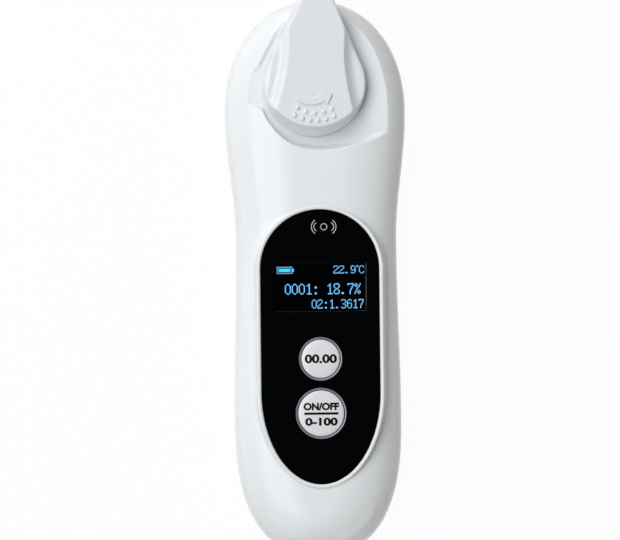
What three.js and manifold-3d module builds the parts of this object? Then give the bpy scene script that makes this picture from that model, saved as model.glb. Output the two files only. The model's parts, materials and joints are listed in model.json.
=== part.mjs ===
// Digital refractometer of hand size, lying on its back.
// Millimetres. +Z points out of the front face, +Y to the head end with the lid, +X to the right.
// The origin lies in the flat back, under the middle of the body's length.
import * as THREE from 'three';
import { mergeVertices } from 'three/addons/utils/BufferGeometryUtils.js';
import Module from 'manifold-3d';

const wasm = await Module();
wasm.setup();

// Fits: clearance of what runs, clearance of what seats, and how far a cut runs past its piece
const RUNNING_GAP = 0.3;
const SEAT_GAP = 0.1;
const CUT_OVERRUN = 2;

// Body, seen from the front
const BODY_LENGTH = 177.2;
const HEAD_HALF_WIDTH = 28.8;
const WAIST_HALF_WIDTH = 25.6;
const GRIP_HALF_WIDTH = 26.6;
const HEAD_ROUND_LENGTH = 35.6;
const FOOT_ROUND_LENGTH = 43.6;
const WAIST_DROP = 41;

// Body, seen from the end
const BACK_DEPTH = 14;
const FRONT_DEPTH = 14.5;
const WALL = 2.2;
const FRONT_WALL = 3.4;
const SEAL_THICKNESS = 0.5;
const SEAL_INSET = 0.5;

// Lid and the recess that it swings in
const PIVOT_BEYOND_HEAD = 2;
const LID_REACH = 28.8;
const LID_ROUND_RADIUS = 16.6;
const LID_NECK_RADIUS = 4.6;
const LID_HEIGHT = 6.6;
const LID_SHOULDER_HEIGHT = 4.3;
const LID_WALL = 1.8;
const LID_FLOOR_GAP = 0.4;
const LID_REST_TURN = THREE.MathUtils.degToRad(-1.9);
const RECESS_DEPTH = 3.7;
const RECESS_FLOOR_WALL = 2.4;
const RECESS_FOOT_GAP = 3.7;
const RECESS_ROUND_GAP = 1.3;
const RECESS_SIDE_GAP = 2.2;
const RECESS_WALL_RUN = 1;
const RECESS_BLEND = 4.5;
const NOTCH_DEPTH = 4.6;
const NOTCH_HEAD_LENGTH = 3.8;
const NOTCH_FOOT_LENGTH = 6.4;
const NOTCH_FACET = 2.6;
const LID_DRAFT = 0.1;
const LID_FOOT_LEAN = 0.42;
const LID_EDGE = 0.7;
const RIB_HALF_WIDTH = 8.95;
const RIB_FLARE = 6.5;
const RIB_FLARE_START = 20;
const RIB_SWEEP = 3.9;
const PAD_RIM = 2.4;

// Oval front panel
const PANEL_SIDE_MARGIN = 4.05;
const PANEL_HEAD_END_Y = 21.9;
const PANEL_FOOT_END_Y = -65.8;
const PANEL_FOOT_ROUND_LENGTH = 29.3;
const PANEL_THICKNESS = 1.6;
const PANEL_SINK = 0.4;
const PANEL_LEDGE = 1.6;
const SURROUND_LIP = 1.3;
const SURROUND_FLUTE_WIDTH = 2.3;
const SURROUND_FLUTE_DEPTH = 5.6;
const SURROUND_LIP_RISE = 0.3;

// Display
const WINDOW_WIDTH = 29.9;
const WINDOW_LENGTH = 15.4;
const WINDOW_Y = -2.9;
const DISPLAY_BORDER_X = 1;
const DISPLAY_BORDER_Y = 1.6;
const DISPLAY_THICKNESS = 1.5;
const DISPLAY_FRAME_WALL = 0.6;
const DISPLAY_FRAME_LIP = 0.8;

// Push buttons
const BUTTON_TRAVEL = 0.5;
const BUTTON_RISE = 0.9;
const BUTTON_DOME = 0.5;
const BUTTON_FLANGE = 0.7;
const BUTTON_FLANGE_THICKNESS = 1;
const BUTTON_STEM_RADIUS = 2.2;
const RING_WALL = 0.5;
const RING_RISE = 0.4;
const RING_FLANGE = 0.7;
const RING_FLANGE_THICKNESS = 0.8;
const ZERO_BUTTON = { y: -25.8, capRadius: 6.15 };
const START_BUTTON = { y: -43.2, capRadius: 7.35 };

// Boards and what is on them
const BOARD_Z = 17.2;
const BOARD_THICKNESS = 1.6;
const BOARD_WIDTH = 34;
const BOARD_STAGE_REACH = 30.8;
const BOARD_FOOT_MARGIN = 17.6;
const BOARD_CORNER = 6;
const BOARD_SCREW_EDGE = 3.4;
const SWITCH_WIDTH = 6;
const SWITCH_HEIGHT = 3.4;
const PLUNGER_RADIUS = 1.6;
const PLUNGER_DEPTH = 2;
const PLUNGER_RISE = 1.2;
const BUZZER_RADIUS = 5;
const BUZZER_HEIGHT = 3.2;
const BUZZER_PORT_RADIUS = 1;
const BUZZER_OFFSET = 9.6;
const PROCESSOR_WIDTH = 10;
const PROCESSOR_HEIGHT = 1.4;
const PROCESSOR_EDGE = 12;

// Sample stage and the optics under it
const STAGE_RADIUS = 13;
const STAGE_FLANGE_THICKNESS = 1.2;
const STAGE_FLANGE_WIDTH = 1;
const STAGE_WELL_RADIUS = 11.6;
const STAGE_WELL_DEPTH = 2.6;
const STAGE_WEB = 0.8;
const STAGE_WINDOW_RADIUS = 4;
const PRISM_WIDTH = 8;
const PRISM_TOP_LENGTH = 11;
const PRISM_BOTTOM_LENGTH = 5;
const PRISM_HEIGHT = 6;
const PRISM_SEAL_RADIUS = 8.3;
const PRISM_SEAL_WIDTH = 1.1;
const PRISM_SEAL_THICKNESS = 0.8;
const OPTICS_LENGTH = 30;
const OPTICS_WIDTH = 15;
const OPTICS_HEIGHT = 10.6;
const OPTICS_SHOULDER = 3;
const OPTICS_PLATE_WIDTH = 33;
const OPTICS_PLATE_THICKNESS = 2;
const OPTICS_SCREW_X = 14.4;
const PROBE_X = 10.2;
const LIGHT_BORE_RADIUS = 2.2;
const LIGHT_BORE_DEPTH = 8.8;
const LENS_BORE_RADIUS = 3.3;
const LENS_BORE_DEPTH = 4;
const SMALL_BOARD_LENGTH = 9.6;
const SMALL_BOARD_WIDTH = 12;
const SMALL_BOARD_THICKNESS = 1.2;
const LENS_RADIUS = 3;
const LENS_THICKNESS = 1.6;
const SENSOR_SIZE = 4;
const SENSOR_HEIGHT = 0.9;
const LAMP_RADIUS = 1.7;
const LAMP_LENGTH = 3.6;
const PROBE_RADIUS = 1.4;
const PROBE_HEIGHT = 3;
const RIBBON_WIDTH = 8;
const RIBBON_THICKNESS = 0.3;
const RIBBON_TAIL = 2.4;

// Lid pivot
const LUG_RADIUS = 4.3;
const LUG_DEPTH = 8.1;
const LUG_REACH = 8.9;
const BUSH_RADIUS = 3;
const HUB_RADIUS = 1.9;
const PIVOT_SCREW_RADIUS = 1;
const PIVOT_SCREW_LENGTH = 7;
const PIVOT_HEAD_RADIUS = 2.3;
const PIVOT_HEAD_HEIGHT = 1.4;
const SPRING_WASHER_RADIUS = 2.6;
const SPRING_WASHER_THICKNESS = 0.4;

// Battery bay, its door and the two cells
const CELL_RADIUS = 5.2;
const CELL_LENGTH = 43.3;
const CELL_NUB_RADIUS = 1.9;
const CELL_NUB_LENGTH = 1.2;
const CELL_SPACING = 11.2;
const CELL_EDGE = 0.6;
const CONTACT_THICKNESS = 0.4;
const SPRING_LENGTH = 4.4;
const SPRING_WIRE_RADIUS = 0.35;
const SPRING_BIG_RADIUS = 3.6;
const SPRING_SMALL_RADIUS = 2.2;
const SPRING_TURNS = 3;
const BAY_FOOT_MARGIN = 14.65;
const BAY_WALL = 1.2;
const DOOR_THICKNESS = 2;
const DOOR_HALF_WIDTH = 13;
const DOOR_TONGUE = 1.2;
const DOOR_LIP = 0.8;
const DOOR_OVERHANG = 1.8;
const DOOR_GRIP_GROOVES = 5;
const DOOR_GRIP_PITCH = 2;
const DOOR_GRIP_HALF_WIDTH = 6;
const DOOR_GRIP_DEPTH = 0.5;
const DOOR_GRIP_MARGIN = 20.6;

// Screws
const SCREW_RADIUS = 1.25;
const SCREW_HEAD_RADIUS = 2.3;
const SCREW_HEAD_HEIGHT = 1.6;
const SCREW_SINK = 3;
const SCREW_LENGTH = 13;
const SCREW_BOSS_RADIUS = 3;
const SCREW_X = 20.6;
const SCREW_HEAD_MARGIN = 22.6;
const SCREW_FOOT_MARGIN = 76.6;
const SMALL_SCREW_RADIUS = 1;
const SMALL_SCREW_HEAD_RADIUS = 1.9;
const SMALL_SCREW_HEAD_HEIGHT = 1.2;
const SMALL_BOSS_RADIUS = 2.4;
const SMALL_SCREW_BITE = 4;
const SMALL_SCREW_COVER = 1.1;

// Facets and the powers and shares of the curves
const END_STEPS = 9;
const SIDE_STEPS = 8;
const SECTION_STEPS = 6;
const ROUND_STEPS = 24;
const SMALL_ROUND_STEPS = 12;
const PANEL_STEPS = 14;
const RECESS_STEPS = 10;
const FLUTE_STEPS = 4;
const STAGE_STEPS = 28;
const WELL_STEPS = 5;
const LID_NECK_STEPS = 10;
const LID_ROUND_STEPS = 28;
const LID_EDGE_STEPS = 3;
const RIB_STEPS = 8;
const SPRING_STEPS = 7;
const SPRING_WIRE_SIDES = 5;
const HEAD_POWER = 2.1;
const FOOT_POWER = 2.5;
const FRONT_SECTION_POWER = 2.5;
const BACK_SECTION_POWER = 3;
const END_INSET_SHARE = 0.4;
const CROWN_FLAT_SHARE = 0.28;
const BACK_FLAT_SHARE = 0.6;
const RECESS_ROUND_END_SHARE = 1.3;
const NOTCH_LEAN_SHARE = 0.3;
const NOTCH_CORNER_SHARE = 0.05;
const LEAN_START_SHARE = 0.68;
const RIB_FLARE_POWER = 1.44;
const COVE_POWER = 2.2;
const COVE_SHARES = [1, 0.68, 0.4, 0.18, 0];
const DOME_SHARES = [1, 0.93, 0.8, 0.5];
const LENS_SHARES = [1, 0.75, 0.4];
const LENS_RIM_SHARE = 0.65;
const LAMP_TIP_SHARE = 0.93;
const PORT_TURN = 0.75 * Math.PI;
const MERGE_STEP = 1e-4;

// Places worked out from the sizes
const HEAD_END_Y = BODY_LENGTH / 2;
const FOOT_END_Y = -BODY_LENGTH / 2;
const WIDEST_Y = HEAD_END_Y - HEAD_ROUND_LENGTH;
const WAIST_Y = WIDEST_Y - WAIST_DROP;
const GRIP_Y = FOOT_END_Y + FOOT_ROUND_LENGTH;
const CROWN_Z = BACK_DEPTH + FRONT_DEPTH;
const LOWER_EDGE_Z = BACK_DEPTH - SEAL_THICKNESS / 2;
const UPPER_EDGE_Z = BACK_DEPTH + SEAL_THICKNESS / 2;
const FLOOR_Z = CROWN_Z - RECESS_DEPTH;
const PIVOT_Y = HEAD_END_Y + PIVOT_BEYOND_HEAD;
const LID_LENGTH = LID_REACH + LID_ROUND_RADIUS;
const RECESS_SWEEP_RADIUS = LID_LENGTH + RECESS_FOOT_GAP;
const STAGE_X = LID_REACH * Math.sin(LID_REST_TURN);
const STAGE_Y = PIVOT_Y - LID_REACH * Math.cos(LID_REST_TURN);
const PANEL_HALF_WIDTH = WINDOW_WIDTH / 2 + PANEL_SIDE_MARGIN;
const PANEL_TOP_Z = CROWN_Z - PANEL_SINK;
const PANEL_BACK_Z = PANEL_TOP_Z - PANEL_THICKNESS;
const DISPLAY_WIDTH = WINDOW_WIDTH + 2 * DISPLAY_BORDER_X;
const DISPLAY_LENGTH = WINDOW_LENGTH + 2 * DISPLAY_BORDER_Y;
const DISPLAY_FACE_Z = PANEL_BACK_Z - DISPLAY_FRAME_LIP;
const BOARD_HEAD_Y = STAGE_Y - BOARD_STAGE_REACH;
const BOARD_FOOT_Y = FOOT_END_Y + BOARD_FOOT_MARGIN;
const BOARD_TOP_Z = BOARD_Z + BOARD_THICKNESS;
const BOARD_SCREW_TOP_Z = BOARD_TOP_Z + SMALL_SCREW_BITE;
const SWITCH_TOP_Z = BOARD_TOP_Z + SWITCH_HEIGHT;
const PLUNGER_TOP_Z = SWITCH_TOP_Z + PLUNGER_RISE;
const RING_FOOT_Z = PANEL_BACK_Z - SEAT_GAP - RING_FLANGE_THICKNESS;
const LUG_Z = FLOOR_Z - LUG_DEPTH;
const STAGE_SEAT_Z = FLOOR_Z - STAGE_FLANGE_THICKNESS;
const STAGE_SLEEVE_RADIUS = STAGE_RADIUS - STAGE_FLANGE_WIDTH;
const CELL_Z = DOOR_THICKNESS + SEAT_GAP + RUNNING_GAP + CELL_RADIUS;
const DOOR_CUT_Z = DOOR_THICKNESS + SEAT_GAP;
const BAY_WIDTH = CELL_SPACING + 2 * (CELL_RADIUS + RUNNING_GAP);
const BAY_LENGTH = CELL_LENGTH + CELL_NUB_LENGTH + SPRING_LENGTH + 2 * (CONTACT_THICKNESS + SEAT_GAP);
const BAY_CENTRE_Y = FOOT_END_Y + BAY_FOOT_MARGIN + BAY_LENGTH / 2;

// Heights of the optics below the recess floor
const STAGE_UNDERSIDE = -(STAGE_WELL_DEPTH + STAGE_WEB);
const OPTICS_TOP = STAGE_UNDERSIDE - PRISM_SEAL_THICKNESS;
const OPTICS_TOP_Z = FLOOR_Z + OPTICS_TOP;
const OPTICS_SCREW_TOP_Z = FLOOR_Z - SMALL_SCREW_COVER;
const PORT_Y = OPTICS_LENGTH / 2 - (OPTICS_HEIGHT - OPTICS_SHOULDER) / 2;
const PORT_Z = OPTICS_TOP - (OPTICS_HEIGHT + OPTICS_SHOULDER) / 2;

// A closed three.js geometry as a solid that can be joined and cut.
function solidOf(geometry) {
  const bare = geometry.clone();
  bare.deleteAttribute('normal');
  bare.deleteAttribute('uv');
  const merged = mergeVertices(bare, MERGE_STEP);
  return new wasm.Manifold(new wasm.Mesh({
    numProp: 3,
    vertProperties: merged.attributes.position.array,
    triVerts: new Uint32Array(merged.index.array),
  }));
}

// A solid as a flat-shaded geometry.
function geometryOf(solid) {
  const mesh = solid.getMesh();
  const geometry = new THREE.BufferGeometry();
  geometry.setAttribute('position', new THREE.BufferAttribute(mesh.vertProperties, 3));
  geometry.setIndex(new THREE.BufferAttribute(mesh.triVerts, 1));
  const flat = geometry.toNonIndexed();
  flat.computeVertexNormals();
  return flat;
}

function joined(first, ...others) {
  return others.reduce((sum, solid) => sum.add(solid), first);
}

function cut(first, ...tools) {
  return tools.reduce((rest, tool) => rest.subtract(tool), first);
}

// A box from its width and length, its lowest and highest Z and its centre.
function block(width, length, low, high, x = 0, y = 0) {
  const geometry = new THREE.BoxGeometry(width, length, high - low);
  return solidOf(geometry.translate(x, y, (low + high) / 2));
}

// An upright cylinder.
function rod(radius, low, high, x = 0, y = 0, sides = ROUND_STEPS) {
  const geometry = new THREE.CylinderGeometry(radius, radius, high - low, sides);
  return solidOf(geometry.rotateX(Math.PI / 2).translate(x, y, (low + high) / 2));
}

// A plan shape extruded from one height to another.
function slab(shape, low, high, curveSegments = ROUND_STEPS) {
  const options = { depth: high - low, bevelEnabled: false, curveSegments };
  return solidOf(new THREE.ExtrudeGeometry(shape, options).translate(0, 0, low));
}

// A profile of [radius, height] pairs turned about the Z axis.
function turned(profile, sides = ROUND_STEPS) {
  const points = profile.map(([radius, height]) => new THREE.Vector2(radius, height));
  return solidOf(new THREE.LatheGeometry(points, sides).rotateX(Math.PI / 2));
}

// A closed solid through rings of points, listed from the lowest to the highest.
// Each ring runs anticlockwise seen from above.
function loft(rings) {
  const count = rings[0].length;
  const geometry = new THREE.BufferGeometry().setFromPoints(rings.flat());
  const faces = [];
  for (let level = 0; level + 1 < rings.length; level += 1) {
    for (let i = 0; i < count; i += 1) {
      const here = level * count + i;
      const next = level * count + ((i + 1) % count);
      faces.push(here, next, next + count, here, next + count, here + count);
    }
  }
  const top = (rings.length - 1) * count;
  THREE.ShapeUtils.triangulateShape(rings[0], []).forEach(([a, b, c]) => faces.push(c, b, a));
  THREE.ShapeUtils.triangulateShape(rings.at(-1), []).forEach(([a, b, c]) => {
    faces.push(top + a, top + b, top + c);
  });
  geometry.setIndex(faces);
  return solidOf(geometry);
}

function finish(color, roughness, metalness = 0) {
  return new THREE.MeshStandardMaterial({ color, roughness, metalness });
}

const glossyWhite = () => finish(0xe4e8ea, 0.18);
const satinGrey = () => finish(0xdfe3e6, 0.4);
const glossyBlack = () => finish(0x060708, 0.12);
const moulded = () => finish(0x1c1d1f, 0.6);
const steel = () => finish(0xb9bcc0, 0.3, 1);
const brass = () => finish(0xc39a52, 0.35, 1);
const rubber = () => finish(0x2a2b2d, 0.85);
const boardGreen = () => finish(0x1d5a38, 0.5);
const glass = () => finish(0xcfe0e4, 0.05);

function piece(name, solid, material) {
  const mesh = new THREE.Mesh(geometryOf(solid), material);
  mesh.name = name;
  return mesh;
}

function groupAt(x, y, z, ...children) {
  const group = new THREE.Group();
  group.position.set(x, y, z);
  group.add(...children);
  return group;
}

// Half the body's width between its two round ends: head to waist, then waist to grip.
function sideHalfWidth(y) {
  const nearHead = y > WAIST_Y;
  const [startY, endY] = nearHead ? [WIDEST_Y, WAIST_Y] : [WAIST_Y, GRIP_Y];
  const [start, end] = nearHead
    ? [HEAD_HALF_WIDTH, WAIST_HALF_WIDTH]
    : [WAIST_HALF_WIDTH, GRIP_HALF_WIDTH];
  const ease = (1 - Math.cos((Math.PI * (startY - y)) / (startY - endY))) / 2;
  return start + (end - start) * ease;
}

// A quarter of a round end, from its tip to its widest place.
function endQuarter(halfWidth, length, power, centreY) {
  const points = [];
  for (let i = 0; i <= END_STEPS; i += 1) {
    const angle = (Math.PI / 2) * (i / END_STEPS);
    const x = -halfWidth * Math.sin(angle) ** (2 / power);
    points.push({ x, y: centreY + length * Math.cos(angle) ** (2 / power) });
  }
  return points;
}

// The body's outline, anticlockwise from the head's tip, drawn in by an inset.
function bodyOutline(inset) {
  const head = endQuarter(HEAD_HALF_WIDTH - inset, HEAD_ROUND_LENGTH - inset, HEAD_POWER, WIDEST_Y);
  const foot = endQuarter(GRIP_HALF_WIDTH - inset, inset - FOOT_ROUND_LENGTH, FOOT_POWER, GRIP_Y);
  const side = [];
  for (let i = 1; i < SIDE_STEPS; i += 1) {
    const y = WIDEST_Y + ((GRIP_Y - WIDEST_Y) * i) / SIDE_STEPS;
    side.push({ x: inset - sideHalfWidth(y), y });
  }
  const left = [...head, ...side, ...foot.reverse()];
  const right = left.slice(1, -1).reverse().map(({ x, y }) => ({ x: -x, y }));
  return [...left, ...right];
}

// The outline drawn in towards the body's middle line: a share of 1 is the outline itself.
function bodyRing(outline, share, z) {
  const endShare = 1 - (1 - share) * END_INSET_SHARE;
  return outline.map(({ x, y }) => {
    const spineY = THREE.MathUtils.clamp(y, GRIP_Y, WIDEST_Y);
    return new THREE.Vector3(x * share, spineY + (y - spineY) * endShare, z);
  });
}

// Half the body, from its parting line to its flat front or back, drawn in on a rounded section.
// An overrun carries its open side past the parting line.
function bodyHalf(inset, partingZ, farZ, overrun = 0) {
  const outline = bodyOutline(inset);
  const [power, flatShare] = farZ > partingZ
    ? [FRONT_SECTION_POWER, CROWN_FLAT_SHARE]
    : [BACK_SECTION_POWER, BACK_FLAT_SHARE];
  const lastAngle = Math.acos(flatShare ** (power / 2));
  const rings = [];
  if (overrun > 0) {
    rings.push(bodyRing(outline, 1, partingZ - Math.sign(farZ - partingZ) * overrun));
  }
  for (let i = 0; i <= SECTION_STEPS; i += 1) {
    const angle = (lastAngle * i) / SECTION_STEPS;
    const share = Math.cos(angle) ** (2 / power);
    const rise = (Math.sin(angle) / Math.sin(lastAngle)) ** (2 / power);
    rings.push(bodyRing(outline, share, partingZ + (farZ - partingZ) * rise));
  }
  return loft(farZ > partingZ ? rings : rings.reverse());
}

// The oval panel's outline, anticlockwise, grown by a margin.
function panelRing(margin, z) {
  const radius = PANEL_HALF_WIDTH + margin;
  const headY = PANEL_HEAD_END_Y - PANEL_HALF_WIDTH;
  const footY = PANEL_FOOT_END_Y + PANEL_FOOT_ROUND_LENGTH;
  const points = [];
  for (let i = 0; i <= PANEL_STEPS; i += 1) {
    const angle = (Math.PI * i) / PANEL_STEPS;
    points.push(new THREE.Vector3(radius * Math.cos(angle), headY + radius * Math.sin(angle), z));
  }
  for (let i = 0; i <= PANEL_STEPS; i += 1) {
    const angle = Math.PI + (Math.PI * i) / PANEL_STEPS;
    const y = footY + (PANEL_FOOT_ROUND_LENGTH + margin) * Math.sin(angle);
    points.push(new THREE.Vector3(radius * Math.cos(angle), y, z));
  }
  return points;
}

function panelSlab(margin, low, high) {
  return loft([panelRing(margin, low), panelRing(margin, high)]);
}

// The raised surround of the panel: a hollow flute that sweeps up to a soft lip.
function panelSurround() {
  const footMargin = SURROUND_LIP + SURROUND_FLUTE_WIDTH;
  const rings = [panelRing(footMargin, CROWN_Z - SURROUND_FLUTE_DEPTH - WALL)];
  for (let i = 0; i <= FLUTE_STEPS; i += 1) {
    const angle = ((Math.PI / 2) * i) / FLUTE_STEPS;
    const margin = SURROUND_LIP + SURROUND_FLUTE_WIDTH * (1 - Math.sin(angle));
    rings.push(panelRing(margin, CROWN_Z - SURROUND_FLUTE_DEPTH * Math.cos(angle)));
  }
  for (let i = 1; i <= 2; i += 1) {
    const angle = ((Math.PI / 2) * i) / 2;
    const margin = SURROUND_LIP - SURROUND_LIP_RISE * (1 - Math.cos(angle));
    rings.push(panelRing(margin, CROWN_Z + SURROUND_LIP_RISE * Math.sin(angle)));
  }
  return loft(rings);
}

// Where the closed lid stands: turned about its pivot, from the pivot's own frame.
function closedLidPlace() {
  return new THREE.Matrix4().makeRotationZ(LID_REST_TURN).setPosition(0, PIVOT_Y, 0);
}

// A line round the recess that the lid swings over, with the lid's pivot at the origin.
// A depth share of 0 gives the top of its wall, and 1 the wall's foot.
function recessRing(depthShare, z) {
  const run = RECESS_WALL_RUN * depthShare;
  const lean = run * NOTCH_LEAN_SHARE;
  const slope = Math.asin((LID_ROUND_RADIUS - LID_NECK_RADIUS) / LID_REACH);
  const wallDistance = LID_NECK_RADIUS + RECESS_SIDE_GAP - run;
  const wallX = (y) => (y * Math.sin(slope) - wallDistance) / Math.cos(slope);
  const rootY = NOTCH_HEAD_LENGTH + NOTCH_FACET - LID_REACH;
  const headY = NOTCH_HEAD_LENGTH - lean - LID_REACH;
  const notchX = lean - LID_ROUND_RADIUS - NOTCH_DEPTH;
  const corner = NOTCH_CORNER_SHARE * (1 - depthShare);
  const roundRadius = LID_ROUND_RADIUS + RECESS_ROUND_GAP - run;
  const roundDrop = NOTCH_FOOT_LENGTH + NOTCH_FACET * (1 - depthShare);
  const roundStart = Math.PI + Math.asin(roundDrop / roundRadius);
  const sweepRadius = RECESS_SWEEP_RADIUS - run;
  const far = 2 * HEAD_HALF_WIDTH;
  const line = new THREE.Path();
  line.moveTo(wallX(far), far);
  line.lineTo(wallX(rootY), rootY);
  line.lineTo(
    THREE.MathUtils.lerp(wallX(rootY), notchX, corner),
    THREE.MathUtils.lerp(rootY, headY, corner + depthShare),
  );
  line.lineTo(notchX, headY);
  line.lineTo(notchX, lean - NOTCH_FOOT_LENGTH - LID_REACH);
  line.absarc(0, -LID_REACH, roundRadius, roundStart, Math.PI * RECESS_ROUND_END_SHARE, false);
  line.quadraticCurveTo(-RECESS_BLEND, -sweepRadius, 0, -sweepRadius);
  line.absarc(0, 0, sweepRadius, -Math.PI / 2, -Math.PI / 4, false);
  line.lineTo(far, -sweepRadius * Math.SQRT1_2);
  line.lineTo(far, far);
  return line.getPoints(RECESS_STEPS).map(({ x, y }) => new THREE.Vector3(x, y, z));
}

// The room that the recess takes from the front shell, its walls leaning out to the crown.
function recessRoom() {
  return placed(loft([
    recessRing(1, FLOOR_Z),
    recessRing(0, CROWN_Z),
    recessRing(0, CROWN_Z + CUT_OVERRUN),
  ]), closedLidPlace());
}

// The places of the four screws that hold the two shells together.
function housingScrewPlaces() {
  const rows = [HEAD_END_Y - SCREW_HEAD_MARGIN, FOOT_END_Y + SCREW_FOOT_MARGIN];
  return rows.flatMap((y) => [[-SCREW_X, y], [SCREW_X, y]]);
}

// The places of the four screws that hold the main board.
function boardScrewPlaces() {
  const x = BOARD_WIDTH / 2 - BOARD_SCREW_EDGE;
  const rows = [BOARD_HEAD_Y - BOARD_SCREW_EDGE, BOARD_FOOT_Y + BOARD_SCREW_EDGE];
  return rows.flatMap((y) => [[-x, y], [x, y]]);
}

// The places of the two screws that hold the optics to the recess floor.
function opticsScrewPlaces() {
  return [[STAGE_X - OPTICS_SCREW_X, STAGE_Y], [STAGE_X + OPTICS_SCREW_X, STAGE_Y]];
}

// The front shell's rows of screw posts, each with its places, sizes and blind holes.
function screwPostRows() {
  const smallHole = SMALL_SCREW_RADIUS + SEAT_GAP;
  return [
    {
      places: housingScrewPlaces(),
      radius: SCREW_BOSS_RADIUS,
      low: UPPER_EDGE_Z,
      hole: SCREW_RADIUS + SEAT_GAP,
      holeTop: SCREW_SINK + SCREW_HEAD_HEIGHT + SCREW_LENGTH + SEAT_GAP,
    },
    {
      places: boardScrewPlaces(),
      radius: SMALL_BOSS_RADIUS,
      low: BOARD_TOP_Z,
      hole: smallHole,
      holeTop: BOARD_SCREW_TOP_Z + SEAT_GAP,
    },
    {
      places: opticsScrewPlaces(),
      radius: SMALL_BOSS_RADIUS,
      low: OPTICS_TOP_Z,
      hole: smallHole,
      holeTop: OPTICS_SCREW_TOP_Z + SEAT_GAP,
    },
  ];
}

function upperHousing() {
  const outer = bodyHalf(0, UPPER_EDGE_Z, CROWN_Z);
  const ceilingStart = PIVOT_Y - RECESS_SWEEP_RADIUS - WALL;
  const ceiling = block(
    2 * HEAD_HALF_WIDTH,
    HEAD_END_Y - ceilingStart,
    FLOOR_Z - RECESS_FLOOR_WALL,
    CROWN_Z,
    0,
    (HEAD_END_Y + ceilingStart) / 2,
  );
  const room = bodyHalf(WALL, UPPER_EDGE_Z, CROWN_Z - FRONT_WALL, CUT_OVERRUN);
  const lug = joined(
    block(2 * LUG_RADIUS, LUG_REACH, LUG_Z, FLOOR_Z, 0, PIVOT_Y - LUG_REACH / 2),
    rod(LUG_RADIUS, LUG_Z, FLOOR_Z, 0, PIVOT_Y),
  );
  const shell = cut(joined(outer, panelSurround(), lug), cut(room, ceiling));
  const posts = screwPostRows().flatMap(({ places, radius, low }) => (
    places.map(([x, y]) => rod(radius, low, CROWN_Z, x, y, SMALL_ROUND_STEPS).intersect(outer))
  ));
  const screwHoles = screwPostRows().flatMap(({ places, low, hole, holeTop }) => (
    places.map(([x, y]) => rod(hole, low - CUT_OVERRUN, holeTop, x, y, SMALL_ROUND_STEPS))
  ));
  const stageHole = joined(
    rod(STAGE_RADIUS + SEAT_GAP, STAGE_SEAT_Z, CROWN_Z, STAGE_X, STAGE_Y, STAGE_STEPS),
    rod(STAGE_SLEEVE_RADIUS + SEAT_GAP, OPTICS_TOP_Z, CROWN_Z, STAGE_X, STAGE_Y, STAGE_STEPS),
  );
  return cut(
    joined(shell, ...posts),
    ...screwHoles,
    recessRoom(),
    panelSlab(SEAT_GAP, PANEL_BACK_Z, CROWN_Z + CUT_OVERRUN),
    panelSlab(-PANEL_LEDGE, BOARD_TOP_Z, CROWN_Z),
    stageHole,
    rod(BUSH_RADIUS + SEAT_GAP, LUG_Z - CUT_OVERRUN, CROWN_Z, 0, PIVOT_Y),
    rod(SPRING_WASHER_RADIUS + RUNNING_GAP, UPPER_EDGE_Z - CUT_OVERRUN, LUG_Z, 0, PIVOT_Y),
  );
}

function lowerHousing() {
  const outer = bodyHalf(0, LOWER_EDGE_Z, 0);
  const room = bodyHalf(WALL, LOWER_EDGE_Z, WALL, CUT_OVERRUN);
  const bayTop = CELL_Z + CELL_RADIUS + RUNNING_GAP;
  const bay = block(
    BAY_WIDTH + 2 * BAY_WALL, BAY_LENGTH + 2 * BAY_WALL, WALL / 2, bayTop + BAY_WALL, 0, BAY_CENTRE_Y,
  );
  const doorFloor = doorSlab(BAY_WALL + DOOR_TONGUE, DOOR_CUT_Z, DOOR_CUT_Z + BAY_WALL).intersect(outer);
  const headHole = SCREW_HEAD_RADIUS + RUNNING_GAP;
  const headSeat = SCREW_SINK + SCREW_HEAD_HEIGHT + SEAT_GAP;
  const posts = housingScrewPlaces().map(([x, y]) => (
    rod(headHole + BAY_WALL, 0, LOWER_EDGE_Z, x, y, SMALL_ROUND_STEPS).intersect(outer)
  ));
  const holes = housingScrewPlaces().flatMap(([x, y]) => [
    rod(headHole, -CUT_OVERRUN, headSeat, x, y, SMALL_ROUND_STEPS),
    rod(SCREW_RADIUS + RUNNING_GAP, 0, BACK_DEPTH + CUT_OVERRUN, x, y, SMALL_ROUND_STEPS),
  ]);
  return cut(
    joined(cut(outer, room), bay, doorFloor, ...posts),
    ...holes,
    block(BAY_WIDTH, BAY_LENGTH, -CUT_OVERRUN, bayTop, 0, BAY_CENTRE_Y),
    doorSlab(RUNNING_GAP, -CUT_OVERRUN, DOOR_CUT_Z),
    doorSlab(RUNNING_GAP + DOOR_TONGUE, DOOR_LIP, DOOR_CUT_Z),
  );
}

// The door's plan, grown by a margin at its sides and head end, running out past the foot.
function doorSlab(margin, low, high) {
  const headY = BAY_CENTRE_Y + BAY_LENGTH / 2 + DOOR_OVERHANG + Math.min(margin, RUNNING_GAP);
  const footY = FOOT_END_Y - CUT_OVERRUN;
  return block(2 * (DOOR_HALF_WIDTH + margin), headY - footY, low, high, 0, (headY + footY) / 2);
}

function batteryDoor() {
  const skin = bodyHalf(0, LOWER_EDGE_Z, 0);
  const plate = joined(
    doorSlab(0, 0, DOOR_THICKNESS),
    doorSlab(DOOR_TONGUE, DOOR_LIP + SEAT_GAP, DOOR_THICKNESS),
  ).intersect(skin);
  const gripY = FOOT_END_Y + DOOR_GRIP_MARGIN;
  const grooves = [];
  for (let i = 0; i < DOOR_GRIP_GROOVES; i += 1) {
    const y = gripY + (i - (DOOR_GRIP_GROOVES - 1) / 2) * DOOR_GRIP_PITCH;
    grooves.push(block(2 * DOOR_GRIP_HALF_WIDTH, DOOR_GRIP_PITCH / 2, -CUT_OVERRUN, DOOR_GRIP_DEPTH, 0, y));
  }
  return cut(plate, ...grooves);
}

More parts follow.
